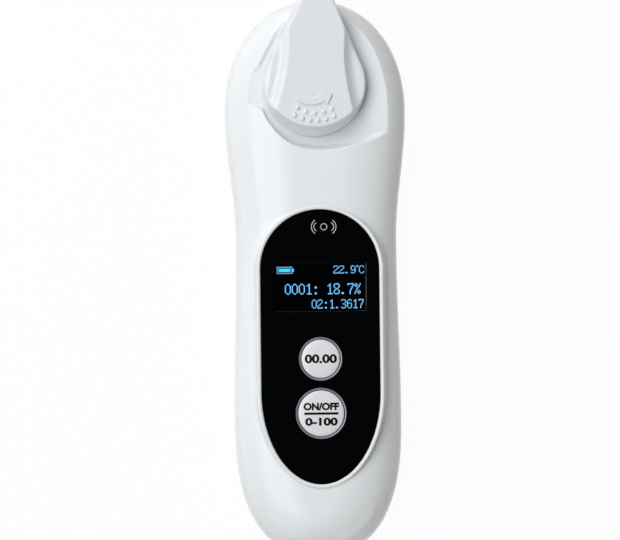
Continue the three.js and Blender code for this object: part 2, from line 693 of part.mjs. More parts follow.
function housingSeal() {
  const outer = bodyOutline(SEAL_INSET);
  const inner = bodyOutline(WALL);
  return cut(
    loft([bodyRing(outer, 1, LOWER_EDGE_Z), bodyRing(outer, 1, UPPER_EDGE_Z)]),
    loft([bodyRing(inner, 1, LOWER_EDGE_Z - CUT_OVERRUN), bodyRing(inner, 1, UPPER_EDGE_Z + CUT_OVERRUN)]),
  );
}

// A pan-head screw standing on its head, with its head's seat at Z = 0.
function screw(shaftRadius, headRadius, headHeight, length) {
  return turned([
    [0, -headHeight],
    [headRadius, -headHeight],
    [headRadius, 0],
    [shaftRadius, 0],
    [shaftRadius, length],
    [0, length],
  ], SMALL_ROUND_STEPS);
}

function screwRow(name, places, seatZ, sizes) {
  return places.map(([x, y], index) => (
    groupAt(x, y, seatZ, piece(`${name}_${index + 1}`, screw(...sizes), steel()))
  ));
}

function facePanel() {
  const holes = [ZERO_BUTTON, START_BUTTON].map(({ y, capRadius }) => rod(
    ringOuterRadius(capRadius) + SEAT_GAP, PANEL_BACK_Z - CUT_OVERRUN, PANEL_TOP_Z + CUT_OVERRUN, 0, y,
  ));
  return cut(
    panelSlab(0, PANEL_BACK_Z, PANEL_TOP_Z),
    block(
      WINDOW_WIDTH + 2 * SEAT_GAP,
      WINDOW_LENGTH + 2 * SEAT_GAP,
      PANEL_BACK_Z - CUT_OVERRUN,
      PANEL_TOP_Z + CUT_OVERRUN,
      0,
      WINDOW_Y,
    ),
    ...holes,
  );
}

// The frame that stands on the main board and holds the display up behind its window.
function displayFrame() {
  const roomWidth = DISPLAY_WIDTH + 2 * SEAT_GAP;
  const roomLength = DISPLAY_LENGTH + 2 * SEAT_GAP;
  const wall = 2 * DISPLAY_FRAME_WALL;
  return cut(
    block(roomWidth + wall, roomLength + wall, BOARD_TOP_Z, PANEL_BACK_Z, 0, WINDOW_Y),
    block(roomWidth, roomLength, BOARD_TOP_Z - CUT_OVERRUN, DISPLAY_FACE_Z, 0, WINDOW_Y),
    block(WINDOW_WIDTH, WINDOW_LENGTH, BOARD_TOP_Z, PANEL_TOP_Z, 0, WINDOW_Y),
  );
}

function mainBoard() {
  const x = BOARD_WIDTH / 2;
  const innerX = x - BOARD_CORNER;
  const headY = BOARD_HEAD_Y - BOARD_CORNER;
  const footY = BOARD_FOOT_Y + BOARD_CORNER;
  const shape = new THREE.Shape([
    [-x, headY], [-x, footY], [-innerX, BOARD_FOOT_Y], [innerX, BOARD_FOOT_Y],
    [x, footY], [x, headY], [innerX, BOARD_HEAD_Y], [-innerX, BOARD_HEAD_Y],
  ].map(([px, py]) => new THREE.Vector2(px, py)));
  const holes = boardScrewPlaces().map(([px, py]) => (
    rod(SMALL_SCREW_RADIUS + RUNNING_GAP, 0, CROWN_Z, px, py, SMALL_ROUND_STEPS)
  ));
  return cut(slab(shape, BOARD_Z, BOARD_TOP_Z), ...holes);
}

function ringOuterRadius(capRadius) {
  return capRadius + RUNNING_GAP + RING_WALL;
}

function buttonRing(capRadius) {
  const inner = capRadius + RUNNING_GAP;
  const outer = ringOuterRadius(capRadius);
  const flangeTop = PANEL_BACK_Z - SEAT_GAP;
  return turned([
    [inner, RING_FOOT_Z],
    [outer + RING_FLANGE, RING_FOOT_Z],
    [outer + RING_FLANGE, flangeTop],
    [outer, flangeTop],
    [outer, PANEL_TOP_Z + RING_RISE],
    [inner, PANEL_TOP_Z + RING_RISE],
    [inner, RING_FOOT_Z],
  ]);
}

// A button's cap with its stem below, and a dome that falls away to a round edge.
function buttonCap(capRadius) {
  const flangeTop = RING_FOOT_Z - RUNNING_GAP;
  const flangeBottom = flangeTop - BUTTON_FLANGE_THICKNESS;
  const edgeZ = PANEL_TOP_Z + BUTTON_RISE - BUTTON_DOME;
  const dome = DOME_SHARES.map((share) => [capRadius * share, edgeZ + BUTTON_DOME * (1 - share ** 4)]);
  return turned([
    [0, PLUNGER_TOP_Z],
    [BUTTON_STEM_RADIUS, PLUNGER_TOP_Z],
    [BUTTON_STEM_RADIUS, flangeBottom],
    [capRadius + BUTTON_FLANGE, flangeBottom],
    [capRadius + BUTTON_FLANGE, flangeTop],
    [capRadius, flangeTop],
    ...dome,
    [0, edgeZ + BUTTON_DOME],
  ]);
}

function buttonSwitch() {
  return cut(
    block(SWITCH_WIDTH, SWITCH_WIDTH, BOARD_TOP_Z, SWITCH_TOP_Z),
    rod(PLUNGER_RADIUS + RUNNING_GAP, SWITCH_TOP_Z - PLUNGER_DEPTH, CROWN_Z, 0, 0, SMALL_ROUND_STEPS),
  );
}

function switchPlunger() {
  const foot = SWITCH_TOP_Z - PLUNGER_DEPTH + BUTTON_TRAVEL + RUNNING_GAP;
  return rod(PLUNGER_RADIUS, foot, PLUNGER_TOP_Z, 0, 0, SMALL_ROUND_STEPS);
}

function buttonSet(name, { y, capRadius }) {
  return groupAt(
    0, y, 0,
    piece(`${name}_button_ring`, buttonRing(capRadius), steel()),
    piece(`${name}_button_cap`, buttonCap(capRadius), glossyWhite()),
    piece(`${name}_switch`, buttonSwitch(), moulded()),
    piece(`${name}_switch_plunger`, switchPlunger(), moulded()),
  );
}

function buzzer() {
  return cut(
    rod(BUZZER_RADIUS, BOARD_TOP_Z, BOARD_TOP_Z + BUZZER_HEIGHT),
    rod(BUZZER_PORT_RADIUS, BOARD_TOP_Z + BUZZER_HEIGHT / 2, CROWN_Z, 0, 0, SMALL_ROUND_STEPS),
  );
}

// The stage: a flange that seats in the recess floor, and a well that falls to the prism window.
function sampleStage() {
  const well = [];
  for (let i = 0; i <= WELL_STEPS; i += 1) {
    const angle = ((Math.PI / 2) * i) / WELL_STEPS;
    const reach = (STAGE_WELL_RADIUS - STAGE_WINDOW_RADIUS) * Math.cos(angle);
    well.push([STAGE_WINDOW_RADIUS + reach, -STAGE_WELL_DEPTH * Math.sin(angle)]);
  }
  return turned([
    [STAGE_WINDOW_RADIUS, STAGE_UNDERSIDE],
    [STAGE_SLEEVE_RADIUS, STAGE_UNDERSIDE],
    [STAGE_SLEEVE_RADIUS, -STAGE_FLANGE_THICKNESS],
    [STAGE_RADIUS, -STAGE_FLANGE_THICKNESS],
    [STAGE_RADIUS, 0],
    ...well,
    [STAGE_WINDOW_RADIUS, STAGE_UNDERSIDE],
  ], STAGE_STEPS);
}

// A profile of [y, z] pairs extruded across the body.
function sideSlab(profile, width, x = 0) {
  const shape = new THREE.Shape(profile.map(([y, z]) => new THREE.Vector2(y, z)));
  const geometry = new THREE.ExtrudeGeometry(shape, { depth: width, bevelEnabled: false });
  geometry.translate(0, 0, x - width / 2);
  return solidOf(geometry.rotateX(Math.PI / 2).rotateZ(Math.PI / 2));
}

// The prism, wide at the sample face and drawn in below, grown by a gap.
function prism(gap) {
  const top = PRISM_TOP_LENGTH / 2 + gap;
  const bottom = PRISM_BOTTOM_LENGTH / 2 + gap;
  const foot = STAGE_UNDERSIDE - PRISM_HEIGHT - gap;
  const profile = [[-top, STAGE_UNDERSIDE], [-bottom, foot], [bottom, foot], [top, STAGE_UNDERSIDE]];
  return sideSlab(profile, PRISM_WIDTH + 2 * gap);
}

// The place of a sloping light port: Z points out of the slope, on the head or the foot side.
function portPlace(side) {
  const place = new THREE.Matrix4().makeRotationX(side * -PORT_TURN);
  return place.setPosition(0, side * PORT_Y, PORT_Z);
}

function placed(solid, matrix) {
  return solidOf(geometryOf(solid).applyMatrix4(matrix));
}

function opticsHousing() {
  const half = OPTICS_LENGTH / 2;
  const slopeTop = OPTICS_TOP - OPTICS_SHOULDER;
  const foot = OPTICS_TOP - OPTICS_HEIGHT;
  const footHalf = half - (slopeTop - foot);
  const body = sideSlab([
    [-half, OPTICS_TOP], [-half, slopeTop], [-footHalf, foot],
    [footHalf, foot], [half, slopeTop], [half, OPTICS_TOP],
  ], OPTICS_WIDTH);
  const plate = block(OPTICS_PLATE_WIDTH, OPTICS_WIDTH, OPTICS_TOP - OPTICS_PLATE_THICKNESS, OPTICS_TOP);
  const bore = rod(LIGHT_BORE_RADIUS, -LIGHT_BORE_DEPTH, CUT_OVERRUN, 0, 0, SMALL_ROUND_STEPS);
  const lensBore = rod(LENS_BORE_RADIUS, -LENS_BORE_DEPTH, CUT_OVERRUN, 0, 0, SMALL_ROUND_STEPS);
  const screwHole = SMALL_SCREW_RADIUS + RUNNING_GAP;
  return cut(
    joined(body, plate),
    prism(SEAT_GAP),
    placed(bore, portPlace(1)),
    placed(joined(bore, lensBore), portPlace(-1)),
    rod(PROBE_RADIUS + SEAT_GAP, OPTICS_TOP - OPTICS_HEIGHT, 0, PROBE_X, 0, SMALL_ROUND_STEPS),
    rod(screwHole, OPTICS_TOP - OPTICS_HEIGHT, 0, OPTICS_SCREW_X, 0, SMALL_ROUND_STEPS),
    rod(screwHole, OPTICS_TOP - OPTICS_HEIGHT, 0, -OPTICS_SCREW_X, 0, SMALL_ROUND_STEPS),
  );
}

function prismSeal() {
  const inner = PRISM_SEAL_RADIUS - PRISM_SEAL_WIDTH;
  return turned([
    [inner, OPTICS_TOP],
    [PRISM_SEAL_RADIUS, OPTICS_TOP],
    [PRISM_SEAL_RADIUS, STAGE_UNDERSIDE],
    [inner, STAGE_UNDERSIDE],
    [inner, OPTICS_TOP],
  ]);
}

// A small board that lies on a slope of the optics, outside its port.
function portBoard() {
  return block(SMALL_BOARD_WIDTH, SMALL_BOARD_LENGTH, SEAT_GAP, SEAT_GAP + SMALL_BOARD_THICKNESS);
}

function lens() {
  const middle = SEAT_GAP - LENS_BORE_DEPTH + LENS_THICKNESS / 2;
  const rise = LENS_THICKNESS / 2;
  const bulge = LENS_SHARES.map((share) => (
    [LENS_RADIUS * share, rise * (1 - (share ** 2) * LENS_RIM_SHARE)]
  ));
  const top = bulge.map(([radius, height]) => [radius, middle + height]);
  const bottom = bulge.map(([radius, height]) => [radius, middle - height]).reverse();
  return turned([[0, middle - rise], ...bottom, ...top, [0, middle + rise]], SMALL_ROUND_STEPS);
}

function lamp() {
  return turned([
    [0, SEAT_GAP - LAMP_LENGTH],
    [LAMP_RADIUS / 2, SEAT_GAP - LAMP_LENGTH * LAMP_TIP_SHARE],
    [LAMP_RADIUS, SEAT_GAP - LAMP_LENGTH + LAMP_RADIUS],
    [LAMP_RADIUS, SEAT_GAP],
    [0, SEAT_GAP],
  ], SMALL_ROUND_STEPS);
}

function portGroup(side, ...children) {
  const group = groupAt(0, side * PORT_Y, PORT_Z, ...children);
  group.rotation.x = side * -PORT_TURN;
  return group;
}

function optics() {
  return groupAt(
    STAGE_X, STAGE_Y, FLOOR_Z,
    piece('sample_stage', sampleStage(), steel()),
    piece('prism', prism(0), glass()),
    piece('prism_seal', prismSeal(), rubber()),
    piece('optics_housing', opticsHousing(), moulded()),
    piece('temperature_probe', rod(
      PROBE_RADIUS, STAGE_UNDERSIDE - PROBE_HEIGHT, STAGE_UNDERSIDE, PROBE_X, 0, SMALL_ROUND_STEPS,
    ), brass()),
    portGroup(1, piece('lamp_board', portBoard(), boardGreen()), piece('lamp', lamp(), glass())),
    portGroup(
      -1,
      piece('sensor_board', portBoard(), boardGreen()),
      piece('image_sensor', block(SENSOR_SIZE, SENSOR_SIZE, SEAT_GAP - SENSOR_HEIGHT, SEAT_GAP), moulded()),
      piece('lens', lens(), glass()),
    ),
  );
}

// The flat ribbon that runs from the back of the sensor board down onto the main board.
function sensorRibbon() {
  const half = RIBBON_THICKNESS / 2;
  const boardBack = SEAT_GAP + SMALL_BOARD_THICKNESS + SEAT_GAP + half;
  const slope = Math.SQRT1_2;
  const startY = STAGE_Y - PORT_Y - boardBack * slope;
  const startZ = FLOOR_Z + PORT_Z - boardBack * slope;
  const lieZ = BOARD_TOP_Z + half;
  const line = [
    [startY + RIBBON_TAIL * slope, startZ - RIBBON_TAIL * slope],
    [startY, startZ],
    [BOARD_HEAD_Y + RIBBON_TAIL, startZ],
    [BOARD_HEAD_Y, lieZ],
    [BOARD_HEAD_Y - 2 * RIBBON_TAIL, lieZ],
  ];
  const above = line.map(([y, z]) => [y, z + half]);
  const below = line.map(([y, z]) => [y, z - half]).reverse();
  return sideSlab([...above, ...below], RIBBON_WIDTH, STAGE_X);
}

// A battery cell lying along Y, with its nub to the head end and its body's middle at the origin.
function batteryCell() {
  const half = CELL_LENGTH / 2;
  const edge = CELL_RADIUS - CELL_EDGE;
  const profile = turned([
    [0, -half], [edge, -half], [CELL_RADIUS, CELL_EDGE - half],
    [CELL_RADIUS, half - CELL_EDGE], [edge, half], [CELL_NUB_RADIUS, half],
    [CELL_NUB_RADIUS, half + CELL_NUB_LENGTH], [0, half + CELL_NUB_LENGTH],
  ], SMALL_ROUND_STEPS);
  return placed(profile, new THREE.Matrix4().makeRotationX(-Math.PI / 2));
}

// A contact spring along Y: a coil that narrows towards the cell, from its plate at the origin.
function contactSpring() {
  const steps = SPRING_TURNS * SPRING_STEPS;
  const rise = SPRING_LENGTH - 2 * SPRING_WIRE_RADIUS;
  const points = [];
  for (let i = 0; i <= steps; i += 1) {
    const share = i / steps;
    const angle = 2 * Math.PI * SPRING_TURNS * share;
    const radius = SPRING_BIG_RADIUS + (SPRING_SMALL_RADIUS - SPRING_BIG_RADIUS) * share;
    const y = SPRING_WIRE_RADIUS + rise * share;
    points.push(new THREE.Vector3(radius * Math.cos(angle), y, radius * Math.sin(angle)));
  }
  const section = new THREE.Shape();
  for (let i = 0; i < SPRING_WIRE_SIDES; i += 1) {
    const angle = (2 * Math.PI * i) / SPRING_WIRE_SIDES;
    const corner = [SPRING_WIRE_RADIUS * Math.cos(angle), SPRING_WIRE_RADIUS * Math.sin(angle)];
    if (i === 0) section.moveTo(...corner);
    else section.lineTo(...corner);
  }
  return solidOf(new THREE.ExtrudeGeometry(section, {
    steps,
    bevelEnabled: false,
    extrudePath: new THREE.CatmullRomCurve3(points),
  }));
}

function contactPlate(width) {
  return block(width, CONTACT_THICKNESS, -CELL_RADIUS, CELL_RADIUS, 0, CONTACT_THICKNESS / 2);
}

// One cell with the spring at its flat end and the plate behind that spring, as seen from the foot.
function cellSet(side, springPlate) {
  const cellY = BAY_LENGTH / 2 - CONTACT_THICKNESS - SEAT_GAP - CELL_NUB_LENGTH - CELL_LENGTH / 2;
  const springY = CONTACT_THICKNESS + SEAT_GAP / 2 - BAY_LENGTH / 2;
  const children = [
    groupAt(0, cellY, 0, piece(`battery_cell_${side}`, batteryCell(), moulded())),
    groupAt(0, springY, 0, piece(`battery_spring_${side}`, contactSpring(), steel())),
  ];
  return springPlate ? [...children, groupAt(0, -BAY_LENGTH / 2, 0, springPlate)] : children;
}

function batteries() {
  const singleWidth = CELL_SPACING - 2 * RUNNING_GAP - BAY_WALL;
  const left = groupAt(
    -CELL_SPACING / 2, 0, 0,
    ...cellSet('left', piece('contact_plate_left', contactPlate(singleWidth), steel())),
  );
  const right = groupAt(CELL_SPACING / 2, 0, 0, ...cellSet('right', null));
  right.rotation.z = Math.PI;
  return groupAt(
    0, BAY_CENTRE_Y, CELL_Z,
    left,
    right,
    groupAt(
      CELL_SPACING / 2, -BAY_LENGTH / 2, 0,
      piece('contact_plate_right', contactPlate(singleWidth), steel()),
    ),
    groupAt(
      0, BAY_LENGTH / 2 - CONTACT_THICKNESS, 0,
      piece('contact_bridge', contactPlate(CELL_SPACING + singleWidth), steel()),
    ),
  );
}

// The lid's outline with its pivot at the origin: a small and a large round joined by straight
// edges, drawn in by an inset, and at the foot also by the lean of its side there.
function lidRing(inset, z) {
  const slope = Math.asin((LID_ROUND_RADIUS - LID_NECK_RADIUS) / LID_REACH);
  const points = [];
  const arc = (fullRadius, centreY, start, end, steps) => {
    for (let i = 0; i <= steps; i += 1) {
      const angle = start + ((end - start) * i) / steps;
      const distance = -centreY - fullRadius * Math.sin(angle);
      const footShare = THREE.MathUtils.smoothstep(distance, LID_LENGTH * LEAN_START_SHARE, LID_LENGTH);
      const radius = fullRadius - inset - LID_FOOT_LEAN * footShare * z;
      points.push(new THREE.Vector3(radius * Math.cos(angle), centreY + radius * Math.sin(angle), z));
    }
  };
  arc(LID_NECK_RADIUS, 0, slope, Math.PI - slope, LID_NECK_STEPS);
  arc(LID_ROUND_RADIUS, -LID_REACH, Math.PI - slope, 2 * Math.PI + slope, LID_ROUND_STEPS);
  return points;
}

// The lid's block up to a height, with its drafted side and rounded upper edge.
function lidBlock(height) {
  const rings = [lidRing(0, 0)];
  for (let i = 0; i <= LID_EDGE_STEPS; i += 1) {
    const angle = ((Math.PI / 2) * i) / LID_EDGE_STEPS;
    const inset = LID_DRAFT + LID_EDGE * (1 - Math.cos(angle));
    rings.push(lidRing(inset, height - LID_EDGE * (1 - Math.sin(angle))));
  }
  return loft(rings);
}

// The plan of the raised rib: parallel by the neck, then sweeping out to the round end.
function ribRing(margin, z) {
  const end = LID_LENGTH + CUT_OVERRUN;
  const left = [];
  for (let i = 0; i <= RIB_STEPS; i += 1) {
    const share = i / RIB_STEPS;
    const distance = RIB_FLARE_START + (end - RIB_FLARE_START) * share;
    const flare = RIB_FLARE * share ** RIB_FLARE_POWER;
    left.push(new THREE.Vector3(-RIB_HALF_WIDTH - margin - flare, -distance, z));
  }
  const start = new THREE.Vector3(-RIB_HALF_WIDTH - margin, LID_NECK_RADIUS + CUT_OVERRUN, z);
  const half = [start, ...left];
  const mirrored = [...half].reverse().map(({ x, y }) => new THREE.Vector3(-x, y, z));
  return [...half, ...mirrored];
}

// The rib with the hollow coves at its sides, steep under its edge and flat at their foot.
function lidRib() {
  const rise = LID_HEIGHT - LID_SHOULDER_HEIGHT;
  const coves = COVE_SHARES.map((share) => (
    ribRing(RIB_SWEEP * share, LID_SHOULDER_HEIGHT + rise * (1 - share) ** COVE_POWER)
  ));
  return loft([ribRing(RIB_SWEEP, 0), ...coves, ribRing(0, LID_HEIGHT + CUT_OVERRUN)]);
}

function lidCover() {
  const hubFoot = RUNNING_GAP - LID_FLOOR_GAP - LUG_DEPTH;
  const ceiling = LID_SHOULDER_HEIGHT - LID_WALL;
  const screwHole = PIVOT_SCREW_RADIUS + SEAT_GAP;
  const screwTop = hubFoot + PIVOT_SCREW_LENGTH;
  const body = joined(
    lidBlock(LID_SHOULDER_HEIGHT),
    lidBlock(LID_HEIGHT).intersect(lidRib()),
    rod(HUB_RADIUS, hubFoot, LID_WALL, 0, 0, SMALL_ROUND_STEPS),
  );
  return cut(
    body,
    rod(LID_ROUND_RADIUS - LID_WALL, -CUT_OVERRUN, ceiling, 0, -LID_REACH, STAGE_STEPS),
    rod(screwHole, hubFoot - CUT_OVERRUN, screwTop, 0, 0, SMALL_ROUND_STEPS),
  );
}

// The soft pad inside the lid that shuts out the light round the stage.
function lightPad() {
  const top = LID_SHOULDER_HEIGHT - LID_WALL;
  const outer = LID_ROUND_RADIUS - LID_WALL - SEAT_GAP;
  return turned([
    [0, top / 2], [outer - PAD_RIM, top / 2], [outer - PAD_RIM, 0], [outer, 0], [outer, top], [0, top],
  ], STAGE_STEPS);
}

function springWasher() {
  const bottom = -LID_FLOOR_GAP - LUG_DEPTH - SEAT_GAP - SPRING_WASHER_THICKNESS;
  const top = bottom + SPRING_WASHER_THICKNESS;
  const inner = PIVOT_SCREW_RADIUS + RUNNING_GAP;
  return turned([
    [inner, bottom], [SPRING_WASHER_RADIUS, bottom],
    [SPRING_WASHER_RADIUS, top], [inner, top], [inner, bottom],
  ], SMALL_ROUND_STEPS);
}

function lid() {
  const screwSeat = -LID_FLOOR_GAP - LUG_DEPTH - 2 * SEAT_GAP - SPRING_WASHER_THICKNESS;
  const sizes = [PIVOT_SCREW_RADIUS, PIVOT_HEAD_RADIUS, PIVOT_HEAD_HEIGHT, PIVOT_SCREW_LENGTH];
  const group = groupAt(
    0, PIVOT_Y, FLOOR_Z + LID_FLOOR_GAP,
    piece('lid', lidCover(), satinGrey()),
    groupAt(0, -LID_REACH, 0, piece('lid_light_pad', lightPad(), rubber())),
    piece('lid_spring_washer', springWasher(), steel()),
    groupAt(0, 0, screwSeat, piece('lid_pivot_screw', screw(...sizes), steel())),
  );
  group.rotation.z = LID_REST_TURN;
  return group;
}

function pivotBush() {
  const inner = HUB_RADIUS + RUNNING_GAP;
  return turned([
    [inner, -LUG_DEPTH], [BUSH_RADIUS, -LUG_DEPTH], [BUSH_RADIUS, 0], [inner, 0], [inner, -LUG_DEPTH],
  ], SMALL_ROUND_STEPS);
}

const refractometer = new THREE.Group();
refractometer.add(
  piece('upper_housing', upperHousing(), glossyWhite()),
  piece('lower_housing', lowerHousing(), glossyWhite()),
  piece('housing_seal', housingSeal(), rubber()),
  piece('battery_door', batteryDoor(), glossyWhite()),
  piece('face_panel', facePanel(), glossyBlack()),
  piece('display_window', block(
    WINDOW_WIDTH, WINDOW_LENGTH, PANEL_BACK_Z, PANEL_TOP_Z, 0, WINDOW_Y,
  ), glass()),
  piece('display_frame', displayFrame(), moulded()),
  piece('display_cell', block(
    DISPLAY_WIDTH, DISPLAY_LENGTH, DISPLAY_FACE_Z - DISPLAY_THICKNESS, DISPLAY_FACE_Z, 0, WINDOW_Y,
  ), glossyBlack()),
  piece('main_board', mainBoard(), boardGreen()),
  groupAt(BUZZER_OFFSET, ZERO_BUTTON.y, 0, piece('buzzer', buzzer(), moulded())),
  piece('processor', block(
    PROCESSOR_WIDTH, PROCESSOR_WIDTH, BOARD_Z - PROCESSOR_HEIGHT, BOARD_Z, 0, BOARD_FOOT_Y + PROCESSOR_EDGE,
  ), moulded()),
  buttonSet('zero', ZERO_BUTTON),
  buttonSet('start', START_BUTTON),
  optics(),
  piece('sensor_ribbon', sensorRibbon(), moulded()),
  batteries(),
  groupAt(0, PIVOT_Y, FLOOR_Z, piece('lid_pivot_bush', pivotBush(), brass())),
  lid(),
  ...screwRow('housing_screw', housingScrewPlaces(), SCREW_SINK + SCREW_HEAD_HEIGHT, [
    SCREW_RADIUS, SCREW_HEAD_RADIUS, SCREW_HEAD_HEIGHT, SCREW_LENGTH,
  ]),
  ...screwRow('board_screw', boardScrewPlaces(), BOARD_Z, [
    SMALL_SCREW_RADIUS, SMALL_SCREW_HEAD_RADIUS, SMALL_SCREW_HEAD_HEIGHT, BOARD_SCREW_TOP_Z - BOARD_Z,
  ]),
  ...screwRow('optics_screw', opticsScrewPlaces(), OPTICS_TOP_Z - OPTICS_PLATE_THICKNESS, [
    SMALL_SCREW_RADIUS,
    SMALL_SCREW_HEAD_RADIUS,
    SMALL_SCREW_HEAD_HEIGHT,
    OPTICS_SCREW_TOP_Z - OPTICS_TOP_Z + OPTICS_PLATE_THICKNESS,
  ]),
);

export default refractometer;
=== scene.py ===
"""Looks of a hand-size digital refractometer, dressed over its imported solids.

Sizes in the classes are millimetres. Meshes are written in metres, in the frame of the solids.
"""

import json
import logging
import math
from dataclasses import dataclass, replace
from enum import Enum
from functools import cache

import bmesh
import bpy
import numpy as np
from mathutils import Matrix, Vector
from mathutils.geometry import delaunay_2d_cdt


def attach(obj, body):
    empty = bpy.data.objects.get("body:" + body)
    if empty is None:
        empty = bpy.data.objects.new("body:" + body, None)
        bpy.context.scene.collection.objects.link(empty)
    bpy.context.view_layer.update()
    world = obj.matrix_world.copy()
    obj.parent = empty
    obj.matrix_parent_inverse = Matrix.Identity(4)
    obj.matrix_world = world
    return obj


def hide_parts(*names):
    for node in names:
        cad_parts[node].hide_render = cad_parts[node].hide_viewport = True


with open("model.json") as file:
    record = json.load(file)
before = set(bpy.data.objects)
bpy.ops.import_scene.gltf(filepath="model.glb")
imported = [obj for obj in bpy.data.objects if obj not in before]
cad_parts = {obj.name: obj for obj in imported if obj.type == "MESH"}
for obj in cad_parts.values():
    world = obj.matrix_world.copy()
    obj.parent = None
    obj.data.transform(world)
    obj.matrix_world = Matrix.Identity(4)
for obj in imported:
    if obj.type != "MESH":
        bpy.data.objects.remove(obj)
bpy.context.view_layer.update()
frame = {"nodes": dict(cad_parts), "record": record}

MM = 0.001
SMOOTH_ANGLE = math.radians(32)
log = logging.getLogger("refractometer")

# Types: two or three numbers, a box by its left, foot, right and head, and what others name at length
Pair = tuple[float, float]
Triple = tuple[float, float, float]
Sides = tuple[float, float, float, float]
Piece = bpy.types.Object
Tree = bpy.types.NodeTree
Array = np.ndarray

# Places in plan and heights that several pieces share, in millimetres
PIVOT = (0.0, 90.6)
STAGE_CENTRE = (-0.955, 61.816)
HOUSING_SCREWS = ((-20.6, 66.0), (20.6, 66.0), (-20.6, -12.0), (20.6, -12.0))
LUG_FOOT = 16.7
RECESS_FLOOR = 24.8
PANEL_SEAT = 26.5
PANEL_TOP = 28.1
CROWN = 28.5


# Plane geometry


def soft_min(a: Array, b: Array, radius: Array | float) -> Array:
    """The lower of two heights, blended where they come within a radius of each other.

    Args:
        a: First heights.
        b: Second heights.
        radius: Height difference over which the two blend.

    Returns:
        The blended heights.
    """
    near = np.maximum(radius - np.abs(a - b), 0.0) / radius
    return np.minimum(a, b) - near * near * radius / 4


def soft_max(a: Array, b: Array, radius: float) -> Array:
    """The higher of two heights, blended where they come within a radius of each other."""
    return -soft_min(-a, -b, radius)


def ease(values: Array, start: float, end: float) -> Array:
    """A smooth step from 0 at start to 1 at end."""
    share = np.clip((values - start) / (end - start), 0.0, 1.0)
    return share * share * (3 - 2 * share)


def inside(points: Array, polygon: Array) -> Array:
    """Tells which points lie inside a closed polygon.

    Args:
        points: An array of points, one row each.
        polygon: The polygon's corners in order.

    Returns:
        A mask, True for each point inside.
    """
    mask = np.zeros(len(points), bool)
    x, y = points[:, 0], points[:, 1]
    for (ax, ay), (bx, by) in zip(polygon, np.roll(polygon, -1, axis=0)):
        if ay == by:
            continue
        crosses = (ay > y) != (by > y)
        mask ^= crosses & (x < (bx - ax) * (y - ay) / (by - ay) + ax)
    return mask


def distance_to_line(points: Array, line: Array) -> Array:
    """The distance from each point to an open line of straight pieces.

    Args:
        points: Points in plan.
        line: The line's points in order.

    Returns:
        A distance for each point.
    """
    best = np.full(len(points), np.inf)
    for start, end in zip(line[:-1], line[1:]):
        along = end - start
        length = float(along @ along)
        if length < 1e-12:
            continue
        share = np.clip(((points - start) @ along) / length, 0.0, 1.0)
        gap = points - start - share[:, None] * along
        best = np.minimum(best, np.einsum("ij,ij->i", gap, gap))
    return np.sqrt(best)


def signed_distance(points: Array, polygon: Array) -> Array:
    """The distance to a closed polygon, below zero inside it."""
    gap = distance_to_line(points, closed(polygon))
    return np.where(inside(points, polygon), -gap, gap)


def resample(line: Array, spacing: float) -> Array:
    """Points at an even spacing along an open line, with both of its ends kept.

    Args:
        line: The line's points.
        spacing: The spacing that is wanted.

    Returns:
        The new points.
    """
    steps = np.linalg.norm(np.diff(line, axis=0), axis=1)
    travel = np.concatenate([[0.0], np.cumsum(steps)])
    count = max(2, int(round(travel[-1] / spacing)) + 1)
    wanted = np.linspace(0.0, travel[-1], count)
    return np.column_stack([np.interp(wanted, travel, line[:, i]) for i in range(2)])


def spline(points: Array, steps: int) -> Array:
    """Points along a smooth curve through the given points.

    Args:
        points: The points that the curve goes through.
        steps: How many points there are from each to the next.

    Returns:
        The curve's points, with both ends.
    """
    ends = np.vstack([2 * points[0] - points[1], points, 2 * points[-1] - points[-2]])
    share = np.linspace(0, 1, steps, endpoint=False)[:, None]
    made = []
    for before, here, there, after in zip(ends, ends[1:], ends[2:], ends[3:]):
        bend = 2 * before - 5 * here + 4 * there - after
        twist = 3 * here - before - 3 * there + after
        made.append(here + 0.5 * ((there - before) * share + bend * share ** 2 + twist * share ** 3))
    return np.vstack([*made, points[-1:]])


def stretches(row: Array, good: Array) -> list[Array]:
    """The unbroken parts of a row of points in which every point is good."""
    parts = np.split(np.arange(len(row)), np.flatnonzero(np.diff(good.astype(int))) + 1)
    return [row[part] for part in parts if good[part[0]] and len(part) > 1]


def offset_rows(line: Array, offsets: list[float]) -> list[Array]:
    """Rows beside a line, each kept only where it is as far from the line as it should be.

    Args:
        line: The line's points; its left side is the side of positive offsets.
        offsets: The distances of the rows.

    Returns:
        Unbroken stretches of points.
    """
    ahead = np.gradient(line, axis=0)
    ahead /= np.linalg.norm(ahead, axis=1)[:, None] + 1e-12
    side = np.column_stack([-ahead[:, 1], ahead[:, 0]])
    rows = []
    for offset in offsets:
        row = line + side * offset
        rows += stretches(row, distance_to_line(row, line) > abs(offset) * 0.97 - 1e-6)
    return rows


def arc(centre: Pair, radii: Pair, start: float, end: float, steps: int) -> Array:
    """Points along an arc of an ellipse, from one angle to another in degrees."""
    angles = np.radians(np.linspace(start, end, steps + 1))
    return np.column_stack([centre[0] + radii[0] * np.cos(angles), centre[1] + radii[1] * np.sin(angles)])


def circle(centre: Pair, radius: float, steps: int) -> Array:
    """Points round a circle, anticlockwise from its right."""
    return arc(centre, (radius, radius), 0, 360, steps)[:-1]


def closed(loop: Array) -> Array:
    """A loop with its first point again at its end."""
    return np.vstack([loop, loop[:1]])


def turned(points: Array, degrees: float) -> Array:
    """Points in plan, turned anticlockwise about the origin."""
    across, along = math.cos(math.radians(degrees)), math.sin(math.radians(degrees))
    return points[:, :1] * (across, along) + points[:, 1:2] * (-along, across)


def at_height(plan: Array, height: float | Array) -> Array:
    """Points in plan, set at one height or at a height each."""
    return np.column_stack([plan, np.broadcast_to(height, len(plan))])


